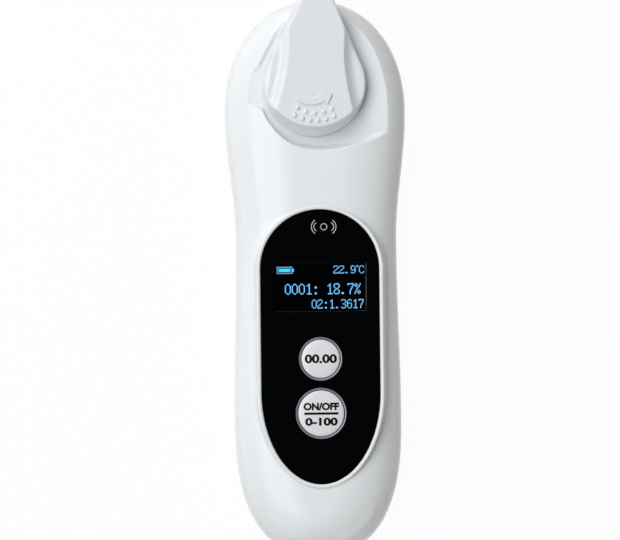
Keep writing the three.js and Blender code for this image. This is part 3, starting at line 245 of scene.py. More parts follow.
def triangulate(outer: Array, holes: list[Array], rows: list[Array], loose: Array) -> tuple[Array, Array]:
    """Fills a plan with triangles that follow its rows.

    Args:
        outer: The closed outer loop.
        holes: Closed loops that stay open.
        rows: Open lines that no triangle crosses.
        loose: Further points to use.

    Returns:
        The points, and the triangles as rows of three point numbers, seen anticlockwise.
    """
    points: list[Array] = []
    edges: list[tuple[int, int]] = []
    start = 0
    for loop in [outer, *holes]:
        count = len(loop)
        edges.extend((start + i, start + (i + 1) % count) for i in range(count))
        points.append(loop)
        start += count
    for row in rows:
        count = len(row)
        edges.extend((start + i, start + i + 1) for i in range(count - 1))
        points.append(row)
        start += count
    points.append(loose.reshape(-1, 2))
    flat = [Vector((float(x), float(y))) for x, y in np.vstack(points)]
    made = delaunay_2d_cdt(flat, edges, [], 0, 1e-5)
    corners = np.array([tuple(v) for v in made[0]])
    triangles = np.array([tuple(f) for f in made[2]], int)
    middles = corners[triangles].mean(axis=1)
    keep = inside(middles, outer)
    for hole in holes:
        keep &= ~inside(middles, hole)
    triangles = triangles[keep]
    a, b, c = (corners[triangles[:, i]] for i in range(3))
    turn = (b[:, 0] - a[:, 0]) * (c[:, 1] - a[:, 1]) - (b[:, 1] - a[:, 1]) * (c[:, 0] - a[:, 0])
    triangles[turn < 0] = triangles[turn < 0][:, ::-1]
    return corners, triangles[np.abs(turn) > 1e-9]


# Meshes


class Draft:
    """Points in millimetres and faces, gathered before they become one mesh."""

    def __init__(self) -> None:
        """Starts empty."""
        self.points: list[Array] = []
        self.faces: list[tuple[int, ...]] = []
        self.count = 0

    def add(self, points: Array) -> int:
        """Adds points and returns the number of the first.

        Args:
            points: The points.

        Returns:
            The first one's number.
        """
        first = self.count
        self.points.append(np.asarray(points, float).reshape(-1, 3))
        self.count += len(self.points[-1])
        return first

    def surface(self, points: Array, triangles: Array) -> None:
        """Adds a triangulated surface."""
        first = self.add(points)
        self.faces.extend(tuple(int(i) + first for i in triangle) for triangle in triangles)

    def skin(self, loops: list[Array], joined: bool = True) -> list[int]:
        """Joins loops of equal count, each to the next.

        Args:
            loops: Loops of points, anticlockwise seen from outside the last one.
            joined: Whether each loop's end joins its start.

        Returns:
            The number of each loop's first point.
        """
        firsts = [self.add(loop) for loop in loops]
        count = len(loops[0])
        for low, high in zip(firsts[:-1], firsts[1:]):
            for i in range(count if joined else count - 1):
                j = (i + 1) % count
                self.faces.append((low + i, low + j, high + j, high + i))
        return firsts

    def lathe(self, profile: list[Pair], centre: Pair = (0.0, 0.0), steps: int = 64) -> None:
        """Turns a profile about an upright axis; an end of it that is on the axis closes.

        Args:
            profile: Radius and height pairs, in the order that keeps the solid on their left.
            centre: The axis in plan.
            steps: Number of faces round.
        """
        angles = np.linspace(0, 2 * math.pi, steps, endpoint=False)
        loops, tips = [], {}
        for place, (radius, height) in enumerate(profile):
            if radius == 0:
                tips[place] = height
                continue
            plan = np.column_stack([np.cos(angles), np.sin(angles)]) * radius + centre
            loops.append(at_height(plan, height))
        firsts = self.skin(loops)
        for place, height in tips.items():
            tip = self.add(np.array([[centre[0], centre[1], height]]))
            ring = firsts[0] if place == 0 else firsts[-1]
            for i in range(steps):
                j = (i + 1) % steps
                self.faces.append((tip, ring + j, ring + i) if place == 0 else (tip, ring + i, ring + j))

    def bmesh(self, place: Matrix | None = None) -> bmesh.types.BMesh:
        """The draft in metres with its doubled points merged, turned by an optional matrix.

        Args:
            place: The matrix, in metres.

        Returns:
            The mesh.
        """
        mesh = bpy.data.meshes.new("draft")
        mesh.from_pydata((np.vstack(self.points) * MM).tolist(), [], self.faces)
        made = bmesh.new()
        made.from_mesh(mesh)
        bpy.data.meshes.remove(mesh)
        bmesh.ops.remove_doubles(made, verts=made.verts, dist=2e-6)
        if place is not None:
            made.transform(place)
        return made


def object_from(made: bmesh.types.BMesh, name: str, recalculate: bool = False) -> Piece:
    """Turns a bmesh into a smooth-shaded object in the scene, with its hard edges marked.

    Args:
        made: The mesh, freed here.
        name: The object's name.
        recalculate: Whether the faces are first turned to point outwards.

    Returns:
        The object.
    """
    if recalculate:
        bmesh.ops.recalc_face_normals(made, faces=made.faces)
    mesh = bpy.data.meshes.new(name)
    made.to_mesh(mesh)
    made.free()
    mesh.shade_smooth()
    mesh.set_sharp_from_angle(angle=SMOOTH_ANGLE)
    made_object = bpy.data.objects.new(name, mesh)
    bpy.context.scene.collection.objects.link(made_object)
    return made_object


def take_in(joined: bmesh.types.BMesh, part: bmesh.types.BMesh) -> None:
    """Adds one bmesh to another, and frees it.

    Args:
        joined: The bmesh that grows.
        part: The one that is used up.
    """
    mesh = bpy.data.meshes.new("part")
    part.to_mesh(mesh)
    part.free()
    joined.from_mesh(mesh)
    bpy.data.meshes.remove(mesh)


def lathed(name: str, profile: list[Pair], centre: Pair, steps: int) -> Piece:
    """A piece turned about an upright axis.

    Args:
        name: The piece's name.
        profile: Radius and height pairs, in the order that keeps the solid on their left.
        centre: The axis in plan.
        steps: Number of faces round.

    Returns:
        The piece.
    """
    draft = Draft()
    draft.lathe(profile, centre, steps)
    return object_from(draft.bmesh(), name)


def applied(target: Piece) -> Piece:
    """Turns an object's modifiers into plain mesh, and removes them.

    Args:
        target: The object.

    Returns:
        The same object.
    """
    graph = bpy.context.evaluated_depsgraph_get()
    mesh = bpy.data.meshes.new_from_object(target.evaluated_get(graph), depsgraph=graph)
    target.modifiers.clear()
    old = target.data
    target.data = mesh
    mesh.name = target.name
    if old.users == 0:
        bpy.data.meshes.remove(old)
    return target


def cut_with(target: Piece, tool: Draft | Piece, how: str = "DIFFERENCE") -> None:
    """Joins, cuts or keeps the overlap of an object with a tool, which is used up.

    Args:
        target: The object.
        tool: The tool.
        how: Blender's name for the step.
    """
    if isinstance(tool, Draft):
        tool = object_from(tool.bmesh(), "tool", recalculate=True)
    step = target.modifiers.new("cut", "BOOLEAN")
    step.operation, step.object, step.solver = how, tool, "EXACT"
    applied(target)
    bpy.data.objects.remove(tool)


def box_draft(low: Triple, high: Triple) -> Draft:
    """A box between two corners.

    Args:
        low: The least corner.
        high: The greatest corner.

    Returns:
        The box.
    """
    draft = Draft()
    plan = [(low[0], low[1]), (high[0], low[1]), (high[0], high[1]), (low[0], high[1])]
    firsts = draft.skin([at_height(np.array(plan), z) for z in (low[2], high[2])])
    draft.faces.append(tuple(firsts[0] + i for i in (3, 2, 1, 0)))
    draft.faces.append(tuple(firsts[1] + i for i in range(4)))
    return draft


def soften(target: Piece, width: float, segments: int = 2, angle: float = 40) -> None:
    """Rounds an object's hard edges and evens its shading.

    Args:
        target: The object.
        width: The rounding's width in millimetres.
        segments: Faces across the rounding.
        angle: The least angle of an edge that is rounded, in degrees.
    """
    bevel = target.modifiers.new("edge", "BEVEL")
    bevel.width, bevel.segments, bevel.limit_method = width * MM, segments, "ANGLE"
    bevel.angle_limit = math.radians(angle)
    bevel.harden_normals = True
    even = target.modifiers.new("even", "WEIGHTED_NORMAL")
    even.keep_sharp, even.weight = True, 80
    applied(target)


def dress(target: Piece, finish: "Finish", body: str, replaces: tuple[str, ...] = ()) -> Piece:
    """Gives a finished piece its material, its body, and the nodes that it stands for.

    Args:
        target: The piece.
        finish: Its finish.
        body: The body that it moves with.
        replaces: The nodes that it stands for.

    Returns:
        The piece.
    """
    target.data.materials.clear()
    target.data.materials.append(finish.material())
    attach(target, body)
    if replaces:
        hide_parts(*replaces)
    log.info("%s: %d faces on %s", target.name, len(target.data.polygons), body)
    return target


# Finishes


class Pattern(Enum):
    """How a surface's fine texture runs."""

    MOULDED = "moulded"
    TURNED = "turned"
    BRUSHED = "brushed"


def node_group(name: str, kind: str, inputs: dict[str, tuple[str, object]],
               outputs: dict[str, str]) -> Tree:
    """A new node group with named sockets.

    Args:
        name: The group's name.
        kind: Blender's name for the kind of tree.
        inputs: Each input's kind of socket and its default, or None for Blender's own.
        outputs: Each output's kind of socket.

    Returns:
        The group.
    """
    tree = bpy.data.node_groups.new(name, kind)
    for socket, (socket_kind, value) in inputs.items():
        made = tree.interface.new_socket(name=socket, in_out="INPUT", socket_type=f"NodeSocket{socket_kind}")
        if value is not None:
            made.default_value = value
    for socket, socket_kind in outputs.items():
        tree.interface.new_socket(name=socket, in_out="OUTPUT", socket_type=f"NodeSocket{socket_kind}")
    return tree


def connect(tree: Tree, *pairs: tuple[bpy.types.Node, str | int, bpy.types.Node, str | int]) -> None:
    """Links nodes, each pair given as a node, its output, the next node and its input."""
    for node, output, following, entry in pairs:
        tree.links.new(node.outputs[output], following.inputs[entry])


def math_node(tree: Tree, operation: str, **constants: float) -> bpy.types.Node:
    """Adds a Math node.

    Args:
        tree: The tree that it goes in.
        operation: What it does.
        constants: Values of its inputs, named first, second and third.

    Returns:
        The node.
    """
    made = tree.nodes.new("ShaderNodeMath")
    made.operation = operation
    for place, name in enumerate(("first", "second", "third")):
        if name in constants:
            made.inputs[place].default_value = constants[name]
    return made


@cache
def grain_group() -> Tree:
    """The shader group for fine grain: it shifts a colour and a roughness, and gives a height.

    Returns:
        The group, built once.
    """
    tree = node_group("surface_grain", "ShaderNodeTree", {
        "Vector": ("Vector", None), "Color": ("Color", (0.8, 0.8, 0.8, 1.0)), "Color shift": ("Float", 0.02),
        "Roughness": ("Float", 0.4), "Roughness shift": ("Float", 0.05), "Grain per metre": ("Float", 2000.0),
    }, {"Color": "Color", "Roughness": "Float", "Height": "Float"})
    nodes = tree.nodes
    given, result = nodes.new("NodeGroupInput"), nodes.new("NodeGroupOutput")
    broad, fine = nodes.new("ShaderNodeTexNoise"), nodes.new("ShaderNodeTexNoise")
    broad.inputs["Scale"].default_value, broad.inputs["Detail"].default_value = 60.0, 3.0
    fine.inputs["Detail"].default_value = 2.0
    centred = math_node(tree, "SUBTRACT", second=0.5)
    lightness = math_node(tree, "MULTIPLY_ADD", third=1.0)
    rough = math_node(tree, "MULTIPLY_ADD")
    tint = nodes.new("ShaderNodeVectorMath")
    tint.operation = "SCALE"
    connect(
        tree,
        (given, "Vector", broad, "Vector"), (given, "Vector", fine, "Vector"),
        (given, "Grain per metre", fine, "Scale"), (broad, "Fac", centred, 0),
        (centred, 0, lightness, 0), (given, "Color shift", lightness, 1),
        (given, "Color", tint, 0), (lightness, 0, tint, "Scale"), (tint, "Vector", result, "Color"),
        (centred, 0, rough, 0), (given, "Roughness shift", rough, 1), (given, "Roughness", rough, 2),
        (rough, 0, result, "Roughness"), (fine, "Fac", result, "Height"),
    )
    return tree


@cache
def rings_group() -> Tree:
    """The shader group for turning marks: fine rings about an upright axis, as a height.

    Returns:
        The group, built once.
    """
    inputs = {"Vector": ("Vector", None), "Rings per metre": ("Float", 900.0)}
    tree = node_group("turning_marks", "ShaderNodeTree", inputs, {"Height": "Float"})
    given, result = tree.nodes.new("NodeGroupInput"), tree.nodes.new("NodeGroupOutput")
    rings = tree.nodes.new("ShaderNodeTexWave")
    rings.wave_type, rings.rings_direction = "RINGS", "Z"
    rings.inputs["Distortion"].default_value = 0.6
    rings.inputs["Detail"].default_value = 2.0
    connect(tree, (given, "Vector", rings, "Vector"), (given, "Rings per metre", rings, "Scale"),
            (rings, "Fac", result, "Height"))
    return tree


@dataclass(frozen=True)
class Finish:
    """A solid surface: its colour, its shine, and how they vary over it."""

    name: str
    color: Triple
    roughness: float
    metallic: float = 0.0
    specular: float = 0.5
    coat: float = 0.0
    coat_roughness: float = 0.04
    color_shift: float = 0.03
    roughness_shift: float = 0.06
    grain_per_metre: float = 2500.0
    grain_depth: float = 0.002
    pattern: Pattern = Pattern.MOULDED
    axis: Pair = (0.0, 0.0)
    rings_per_metre: float = 900.0
    brush_stretch: float = 0.04
    clear: float = 0.0
    index: float = 1.5
    glow: Triple | None = None
    glow_strength: float = 1.0

    def material(self) -> bpy.types.Material:
        """The material of this finish, built once.

        Returns:
            The material; where the solids' own materials have one of this name, it is theirs.
        """
        if self.name in bpy.data.materials:
            return bpy.data.materials[self.name]
        made = bpy.data.materials.new(self.name)
        made.use_nodes = True
        tree = made.node_tree
        nodes = tree.nodes
        shader = nodes["Principled BSDF"]
        for socket, value in (
            ("Metallic", self.metallic), ("Specular IOR Level", self.specular), ("Coat Weight", self.coat),
            ("Coat Roughness", self.coat_roughness), ("Transmission Weight", self.clear), ("IOR", self.index),
        ):
            shader.inputs[socket].default_value = value
        if self.glow is not None:
            shader.inputs["Emission Color"].default_value = (*self.glow, 1.0)
            shader.inputs["Emission Strength"].default_value = self.glow_strength
        place, grain = nodes.new("ShaderNodeTexCoord"), nodes.new("ShaderNodeGroup")
        grain.node_tree = grain_group()
        for socket, value in (
            ("Color", (*self.color, 1.0)), ("Color shift", self.color_shift), ("Roughness", self.roughness),
            ("Roughness shift", self.roughness_shift), ("Grain per metre", self.grain_per_metre),
        ):
            grain.inputs[socket].default_value = value
        if self.pattern is Pattern.BRUSHED:
            stretch = nodes.new("ShaderNodeMapping")
            stretch.inputs["Scale"].default_value = (1.0, self.brush_stretch, 1.0)
            connect(tree, (place, "Object", stretch, "Vector"), (stretch, "Vector", grain, "Vector"))
        else:
            connect(tree, (place, "Object", grain, "Vector"))
        bump = nodes.new("ShaderNodeBump")
        bump.inputs["Strength"].default_value = 1.0
        bump.inputs["Distance"].default_value = self.grain_depth * MM
        relief = grain
        if self.pattern is Pattern.TURNED:
            centre, relief = nodes.new("ShaderNodeMapping"), nodes.new("ShaderNodeGroup")
            centre.inputs["Location"].default_value = (-self.axis[0] * MM, -self.axis[1] * MM, 0.0)
            relief.node_tree = rings_group()
            relief.inputs["Rings per metre"].default_value = self.rings_per_metre
            connect(tree, (place, "Object", centre, "Vector"), (centre, "Vector", relief, "Vector"))
        connect(tree, (grain, "Color", shader, "Base Color"), (grain, "Roughness", shader, "Roughness"),
                (relief, "Height", bump, "Height"), (bump, "Normal", shader, "Normal"))
        return made


GLOSS_WHITE = Finish("gloss_white_plastic", (0.80, 0.82, 0.835), 0.16, specular=0.25, color_shift=0.012,
                     roughness_shift=0.04, grain_per_metre=900.0, grain_depth=0.0012)
SATIN_GREY = Finish("satin_grey_plastic", (0.765, 0.785, 0.805), 0.26, color_shift=0.015,
                    grain_per_metre=5200.0, grain_depth=0.006)
GLOSS_BLACK = Finish("gloss_black_panel", (0.001, 0.0014, 0.002), 0.07, specular=0.05, color_shift=0.1,
                     roughness_shift=0.03, grain_per_metre=700.0, grain_depth=0.0004)
CLEAR_WINDOW = Finish("clear_window", (0.93, 0.96, 1.0), 0.015, clear=1.0, index=1.12, color_shift=0.0,
                      roughness_shift=0.01, grain_depth=0.0002)
OPTICAL_GLASS = Finish("optical_glass", (0.96, 0.99, 1.0), 0.01, clear=1.0, index=1.52, color_shift=0.0,
                       roughness_shift=0.005, grain_depth=0.0001)
DISPLAY_DARK = Finish("display_glass", (0.0005, 0.0005, 0.0014), 0.1, specular=0.04, color_shift=0.1)
# Painted highlight: a pale grey that stands in for the light caught by the display pane's right and lower
# edges
PANE_EDGE_HIGHLIGHT = Finish("pane_edge", (0.04, 0.04, 0.045), 0.3, color_shift=0.1)
READOUT_GLOW = Finish("readout_glow", (0.05, 0.15, 0.3), 0.5, glow=(0.19, 0.60, 1.0), glow_strength=1.25)
FRAME_GLOW = Finish("frame_glow", (0.05, 0.12, 0.2), 0.5, glow=(0.17, 0.28, 0.52), glow_strength=1.0)
CHARGE_GLOW = Finish("charge_glow", (0.02, 0.15, 0.3), 0.5, glow=(0.03, 0.68, 1.0), glow_strength=1.0)
BUTTON_WHITE = Finish("satin_white_cap", (0.73, 0.74, 0.76), 0.3, color_shift=0.015, grain_depth=0.003)
PRINT_BLACK = Finish("black_print", (0.004, 0.004, 0.005), 0.4, specular=0.15, color_shift=0.1)
PRINT_GREY = Finish("grey_print", (0.62, 0.62, 0.62), 0.5, color_shift=0.05)
SILVER = Finish("bright_silver", (0.34, 0.345, 0.37), 0.42, metallic=0.55, color_shift=0.02,
                pattern=Pattern.TURNED, grain_depth=0.002)
STAINLESS = Finish("turned_stainless", (0.56, 0.56, 0.57), 0.24, metallic=1.0, pattern=Pattern.TURNED,
                   axis=STAGE_CENTRE, grain_depth=0.004)
PLATED = Finish("plated_steel", (0.50, 0.50, 0.52), 0.3, metallic=1.0, grain_depth=0.004)
SPRING_STEEL = Finish("nickel_spring", (0.62, 0.60, 0.55), 0.28, metallic=1.0, grain_depth=0.003,
                      pattern=Pattern.BRUSHED)
BRASS = Finish("machined_brass", (0.66, 0.47, 0.20), 0.27, metallic=1.0, grain_depth=0.004,
               pattern=Pattern.BRUSHED)
SOFT_BLACK = Finish("soft_rubber", (0.018, 0.018, 0.019), 0.72, specular=0.35, color_shift=0.15,
                    grain_per_metre=6000.0, grain_depth=0.02)
BOARD_GREEN = Finish("board_green", (0.02, 0.13, 0.055), 0.34, color_shift=0.2, grain_depth=0.004)
MOULDED_BLACK = Finish("moulded_black", (0.016, 0.016, 0.017), 0.5, color_shift=0.15,
                       grain_per_metre=7000.0, grain_depth=0.02)
CELL_WRAP = Finish("cell_wrap", (0.035, 0.05, 0.085), 0.3, coat=0.3, color_shift=0.08)


# Housing


@dataclass
class Body:
    """The housing's outline and section, which both shells follow."""

    length: float = 177.2
    head_half: float = 28.8
    waist_half: float = 25.6
    grip_half: float = 26.6
    head_round: float = 35.6
    foot_round: float = 43.6
    waist_drop: float = 41.0
    head_power: float = 2.1
    foot_power: float = 2.5
    front_power: float = 2.5
    end_inset: float = 0.4
    parting: float = 14.0
    seal: float = 0.5
    crown: float = CROWN
    crown_flat: float = 0.28
    crown_blend: float = 0.16
    back_flat: float = 0.6
    back_power: float = 3.0
    quarter_steps: int = 44
    side_steps: int = 92

    @property
    def back_top(self) -> float:
        """The height at which the back shell ends."""
        return self.parting - self.seal / 2

    @property
    def front_foot(self) -> float:
        """The height at which the front shell starts."""
        return self.parting + self.seal / 2

    @property
    def widest_y(self) -> float:
        """Where the head is widest."""
        return self.length / 2 - self.head_round

    @property
    def grip_y(self) -> float:
        """Where the grip is widest."""
        return self.foot_round - self.length / 2

    @property
    def waist_y(self) -> float:
        """Where the body is narrowest."""
        return self.widest_y - self.waist_drop

    def half_width(self, y: Array) -> Array:
        """Half the body's width between its two round ends.

        Args:
            y: Places along the body.

        Returns:
            The half width at each.
        """
        upper = (1 - np.cos(math.pi * (self.widest_y - y) / self.waist_drop)) / 2
        lower = (1 - np.cos(math.pi * (self.waist_y - y) / (self.waist_y - self.grip_y))) / 2
        return np.where(
            y > self.waist_y,
            self.head_half + (self.waist_half - self.head_half) * upper,
            self.waist_half + (self.grip_half - self.waist_half) * lower,
        )

    def outline(self, inset: float = 0.0) -> Array:
        """The outline drawn in by an inset, anticlockwise from the head's tip.

        Args:
            inset: How far it is drawn in.

        Returns:
            The outline's points.
        """
        angles = np.linspace(0, math.pi / 2, self.quarter_steps + 1)
        rise, run = np.cos(angles).clip(0), np.sin(angles)
        head = np.column_stack([
            -(self.head_half - inset) * run ** (2 / self.head_power),
            self.widest_y + (self.head_round - inset) * rise ** (2 / self.head_power),
        ])
        foot = np.column_stack([
            -(self.grip_half - inset) * run ** (2 / self.foot_power),
            self.grip_y - (self.foot_round - inset) * rise ** (2 / self.foot_power),
        ])[::-1]
        y = np.linspace(self.widest_y, self.grip_y, self.side_steps + 1)[1:-1]
        left = np.vstack([head, np.column_stack([inset - self.half_width(y), y]), foot])
        return np.vstack([left, (left[1:-1] * [-1, 1])[::-1]])

    def ring(self, share: float, inset: float = 0.0) -> Array:
        """The outline drawn in towards the body's middle line; a share of 1 is the outline.

        Args:
            share: The share.
            inset: How far the outline is drawn in first.

        Returns:
            The points.
        """
        line = self.outline(inset)
        spine = np.clip(line[:, 1], self.grip_y, self.widest_y)
        end = 1 - (1 - share) * self.end_inset
        return np.column_stack([line[:, 0] * share, spine + (line[:, 1] - spine) * end])

    def share_at(self, points: Array) -> Array:
        """The share of the ring that passes through each point.

        Args:
            points: Points in plan.

        Returns:
            The shares, near 0 on the body's middle line.
        """
        x, y = np.abs(points[:, 0]), points[:, 1]
        spine = np.clip(y, self.grip_y, self.widest_y)
        beyond = np.abs(y - spine)
        head = y > self.widest_y
        power = np.where(head, self.head_power, self.foot_power)
        reach = np.where(head, self.head_round, self.foot_round)
        half = self.half_width(spine)
        low, high = np.full(len(x), 1e-4), np.full(len(x), 1.6)
        for _ in range(40):
            share = (low + high) / 2
            end = 1 - (1 - share) * self.end_inset
            outside = (x / (share * half)) ** power + (beyond / (end * reach)) ** power > 1
            low, high = np.where(outside, share, low), np.where(outside, high, share)
        return (low + high) / 2

    def front_height(self, share: Array) -> Array:
        """The height of the front's crown at a share of the outline.

        Args:
            share: The shares.

        Returns:
            A height for each.
        """
        power, start = self.front_power, self.front_foot
        rise = (np.clip(1 - share ** power, 0, 1) / (1 - self.crown_flat ** power)) ** (1 / power)
        flat = np.full(len(share), self.crown)
        return soft_min(start + (self.crown - start) * rise, flat, self.crown_blend)

    def share_of_height(self, height: float) -> float:
        """The share of the outline at which the front's crown has a height."""
        power, rise = self.front_power, (height - self.front_foot) / (self.crown - self.front_foot)
        return (1 - rise ** power * (1 - self.crown_flat ** power)) ** (1 / power)

    def share_rows(self, last: float, count: int) -> Array:
        """Shares from the outline inwards, close together where the section is steep."""
        steps = np.linspace(0, (1 - last ** self.front_power) ** (1 / self.front_power), count + 1)
        return (1 - steps ** self.front_power) ** (1 / self.front_power)


@dataclass
class Recess:
    """The sunk floor in the head that the lid swings over, between the foot and the top of its wall."""

    floor: float = RECESS_FLOOR
    top_sweep: float = 49.7
    foot_sweep: float = 48.3
    over: float = 1.4
    fillet: float = 0.12
    wall_power: float = 1.7
    sweep_end: float = 318.0
    sweep_steps: int = 70
    bend_steps: int = 5
    corner_count: int = 6
    beyond: Pair = (90.0, 150.0)
    top_left: tuple[Pair, ...] = (
        (-1.5, 102.0), (-11.75, 82.1), (-18.62, 68.85), (-18.78, 68.55), (-21.8, 66.15), (-22.5, 56.1),
        (-17.6, 53.3), (-16.6, 51.3), (-15.3, 49.2), (-13.6, 47.0), (-12.0, 45.4), (-10.4, 44.0),
        (-8.5, 42.8), (-6.4, 41.95), (-3.6, 41.25),
    )
    foot_left: tuple[Pair, ...] = (
        (-0.1, 101.3), (-10.3, 81.35), (-17.2, 68.05), (-17.3, 65.95), (-21.5, 65.85), (-22.1, 56.2),
        (-17.0, 55.4), (-16.1, 51.6), (-14.9, 49.55), (-13.2, 47.6), (-11.6, 46.15), (-10.1, 44.95),
        (-8.25, 43.95), (-6.2, 43.2), (-3.5, 42.65),
    )

    def lines(self) -> tuple[Array, Array]:
        """The top line and the foot line of the recess's wall, point for point.

        Returns:
            Both lines from the upper left round to the right, the floor on their left.
        """
        made = []
        corners = self.corner_count
        for left, sweep in ((self.top_left, self.top_sweep), (self.foot_left, self.foot_sweep)):
            right = arc(PIVOT, (sweep, sweep), 270, self.sweep_end, self.sweep_steps)
            bend = spline(np.vstack([left[corners:], right[:1]]), self.bend_steps)
            made.append(np.vstack([left[:corners], bend[:-1], right, [[self.beyond[0], right[-1][1]]]]))
        return made[0], made[1]

    def line_at(self, share: float) -> Array:
        """The wall's line at a share of the way from its foot to its top."""
        top, foot = self.lines()
        return foot + (top - foot) * share

    def gaps(self, points: Array) -> tuple[Array, Array]:
        """How far each point lies beyond the wall's top line and beyond its foot line.

        Args:
            points: Points in plan.

        Returns:
            The two distances for each point, below zero inside.
        """
        found = []
        for line in self.lines():
            outline = np.vstack([line, self.beyond, (line[0][0], self.beyond[1])])
            found.append(signed_distance(points, outline))
        return found[0], found[1]

    def heights(self, points: Array, crown: Array) -> Array:
        """The floor's height, and that of the wall that climbs from it to the crown.

        Args:
            points: Points in plan.
            crown: The crown's height at each of them.

        Returns:
            The heights.
        """
        beyond_top, beyond_foot = self.gaps(points)
        share = np.clip(beyond_foot / np.maximum(beyond_foot - beyond_top, 1e-6), 0, 1)
        climb = np.maximum(crown - self.floor, 0) * share ** self.wall_power
        climb += np.maximum(beyond_top, 0) * self.over
        wall = self.floor + climb
        return soft_max(wall, np.full(len(points), self.floor), self.fillet)

    def rows(self) -> list[Array]:
        """Rows of points along the wall, from the floor to past its top."""
        shares = [-0.45, -0.2, -0.06, 0.05, 0.2, 0.4, 0.6, 0.8, 0.9, 0.97, 1.03, 1.1, 1.2, 1.35, 1.6]
        return [resample(self.line_at(share)[:-1], 0.5) for share in shares]


@dataclass
class PanelForm:
    """The oval opening for the front panel and the raised surround about it."""

    half: float = 19.0
    head_y: float = 2.9
    foot_y: float = -36.5
    foot_round: float = 29.3
    lip: float = 1.3
    lip_rise: float = 0.5
    lip_crest: float = 0.85
    flute_width: float = 2.3
    flute_depth: float = 5.6
    flute_fall: float = 3.0
    lip_step: float = 0.1
    steps: int = 150
    row_margins: tuple[float, ...] = (
        0.16, 0.24, 0.34, 0.5, 0.75, 0.95, 1.1, 1.2, 1.27, 1.32, 1.4, 1.5, 1.65, 1.85, 2.1, 2.35, 2.6, 2.85,
        3.1, 3.35, 3.6, 3.9, 4.3,
    )

    def ring(self, margin: float) -> Array:
        """The oval grown by a margin, anticlockwise from its right.

        Args:
            margin: The margin.

        Returns:
            The points.
        """
        upper = arc((0, self.head_y), (self.half + margin,) * 2, 0, 180, self.steps)
        lower = arc((0, self.foot_y), (self.half + margin, self.foot_round + margin), 180, 360, self.steps)
        sides = np.linspace(self.head_y, self.foot_y, 50)[1:-1]
        left = np.column_stack([np.full(len(sides), -self.half - margin), sides])
        return np.vstack([upper, left, lower, (left * [-1, 1])[::-1]])

    def margin_at(self, points: Array) -> Array:
        """The margin of the oval that passes through each point.

        Args:
            points: Points in plan.

        Returns:
            The margins.
        """
        x, y = points[:, 0], points[:, 1]
        upper = np.hypot(x, y - self.head_y) - self.half
        side = np.abs(x) - self.half
        low, high = np.full(len(x), -self.half + 0.1), np.full(len(x), 60.0)
        for _ in range(36):
            middle = (low + high) / 2
            across = x / (self.half + middle)
            down = (y - self.foot_y) / (self.foot_round + middle)
            outside = across ** 2 + down ** 2 > 1
            low, high = np.where(outside, middle, low), np.where(outside, high, middle)
        return np.where(y > self.head_y, upper, np.where(y > self.foot_y, side, (low + high) / 2))

    def heights(self, points: Array) -> Array:
        """The height of the surround's lip and of the hollow flute outside it.

        Args:
            points: Points in plan.

        Returns:
            The heights.
        """
        margin = self.margin_at(points)
        out = np.clip((margin - self.lip) / self.flute_width, 0, 1)
        flute = CROWN - self.flute_depth * np.sqrt(1 - (1 - out) ** 2)
        flute -= np.maximum(margin - self.lip - self.flute_width, 0) * self.flute_fall
        back = np.clip((self.lip - margin) / (self.lip - self.lip_crest), 0, 1)
        lip = CROWN + self.lip_rise * np.sqrt(1 - (1 - back) ** 2)
        fall = np.clip((self.lip_crest - margin) / (self.lip_crest - 0.05), 0, 1)
        lip -= (self.lip_rise + self.lip_step) * (1 - np.sqrt(np.maximum(1 - fall ** 2, 0.02)))
        return np.where(margin > self.lip, flute, lip)

    def rows(self) -> list[Array]:
        """Closed rows of points over the lip and the flute."""
        return [closed(self.ring(margin)) for margin in self.row_margins]


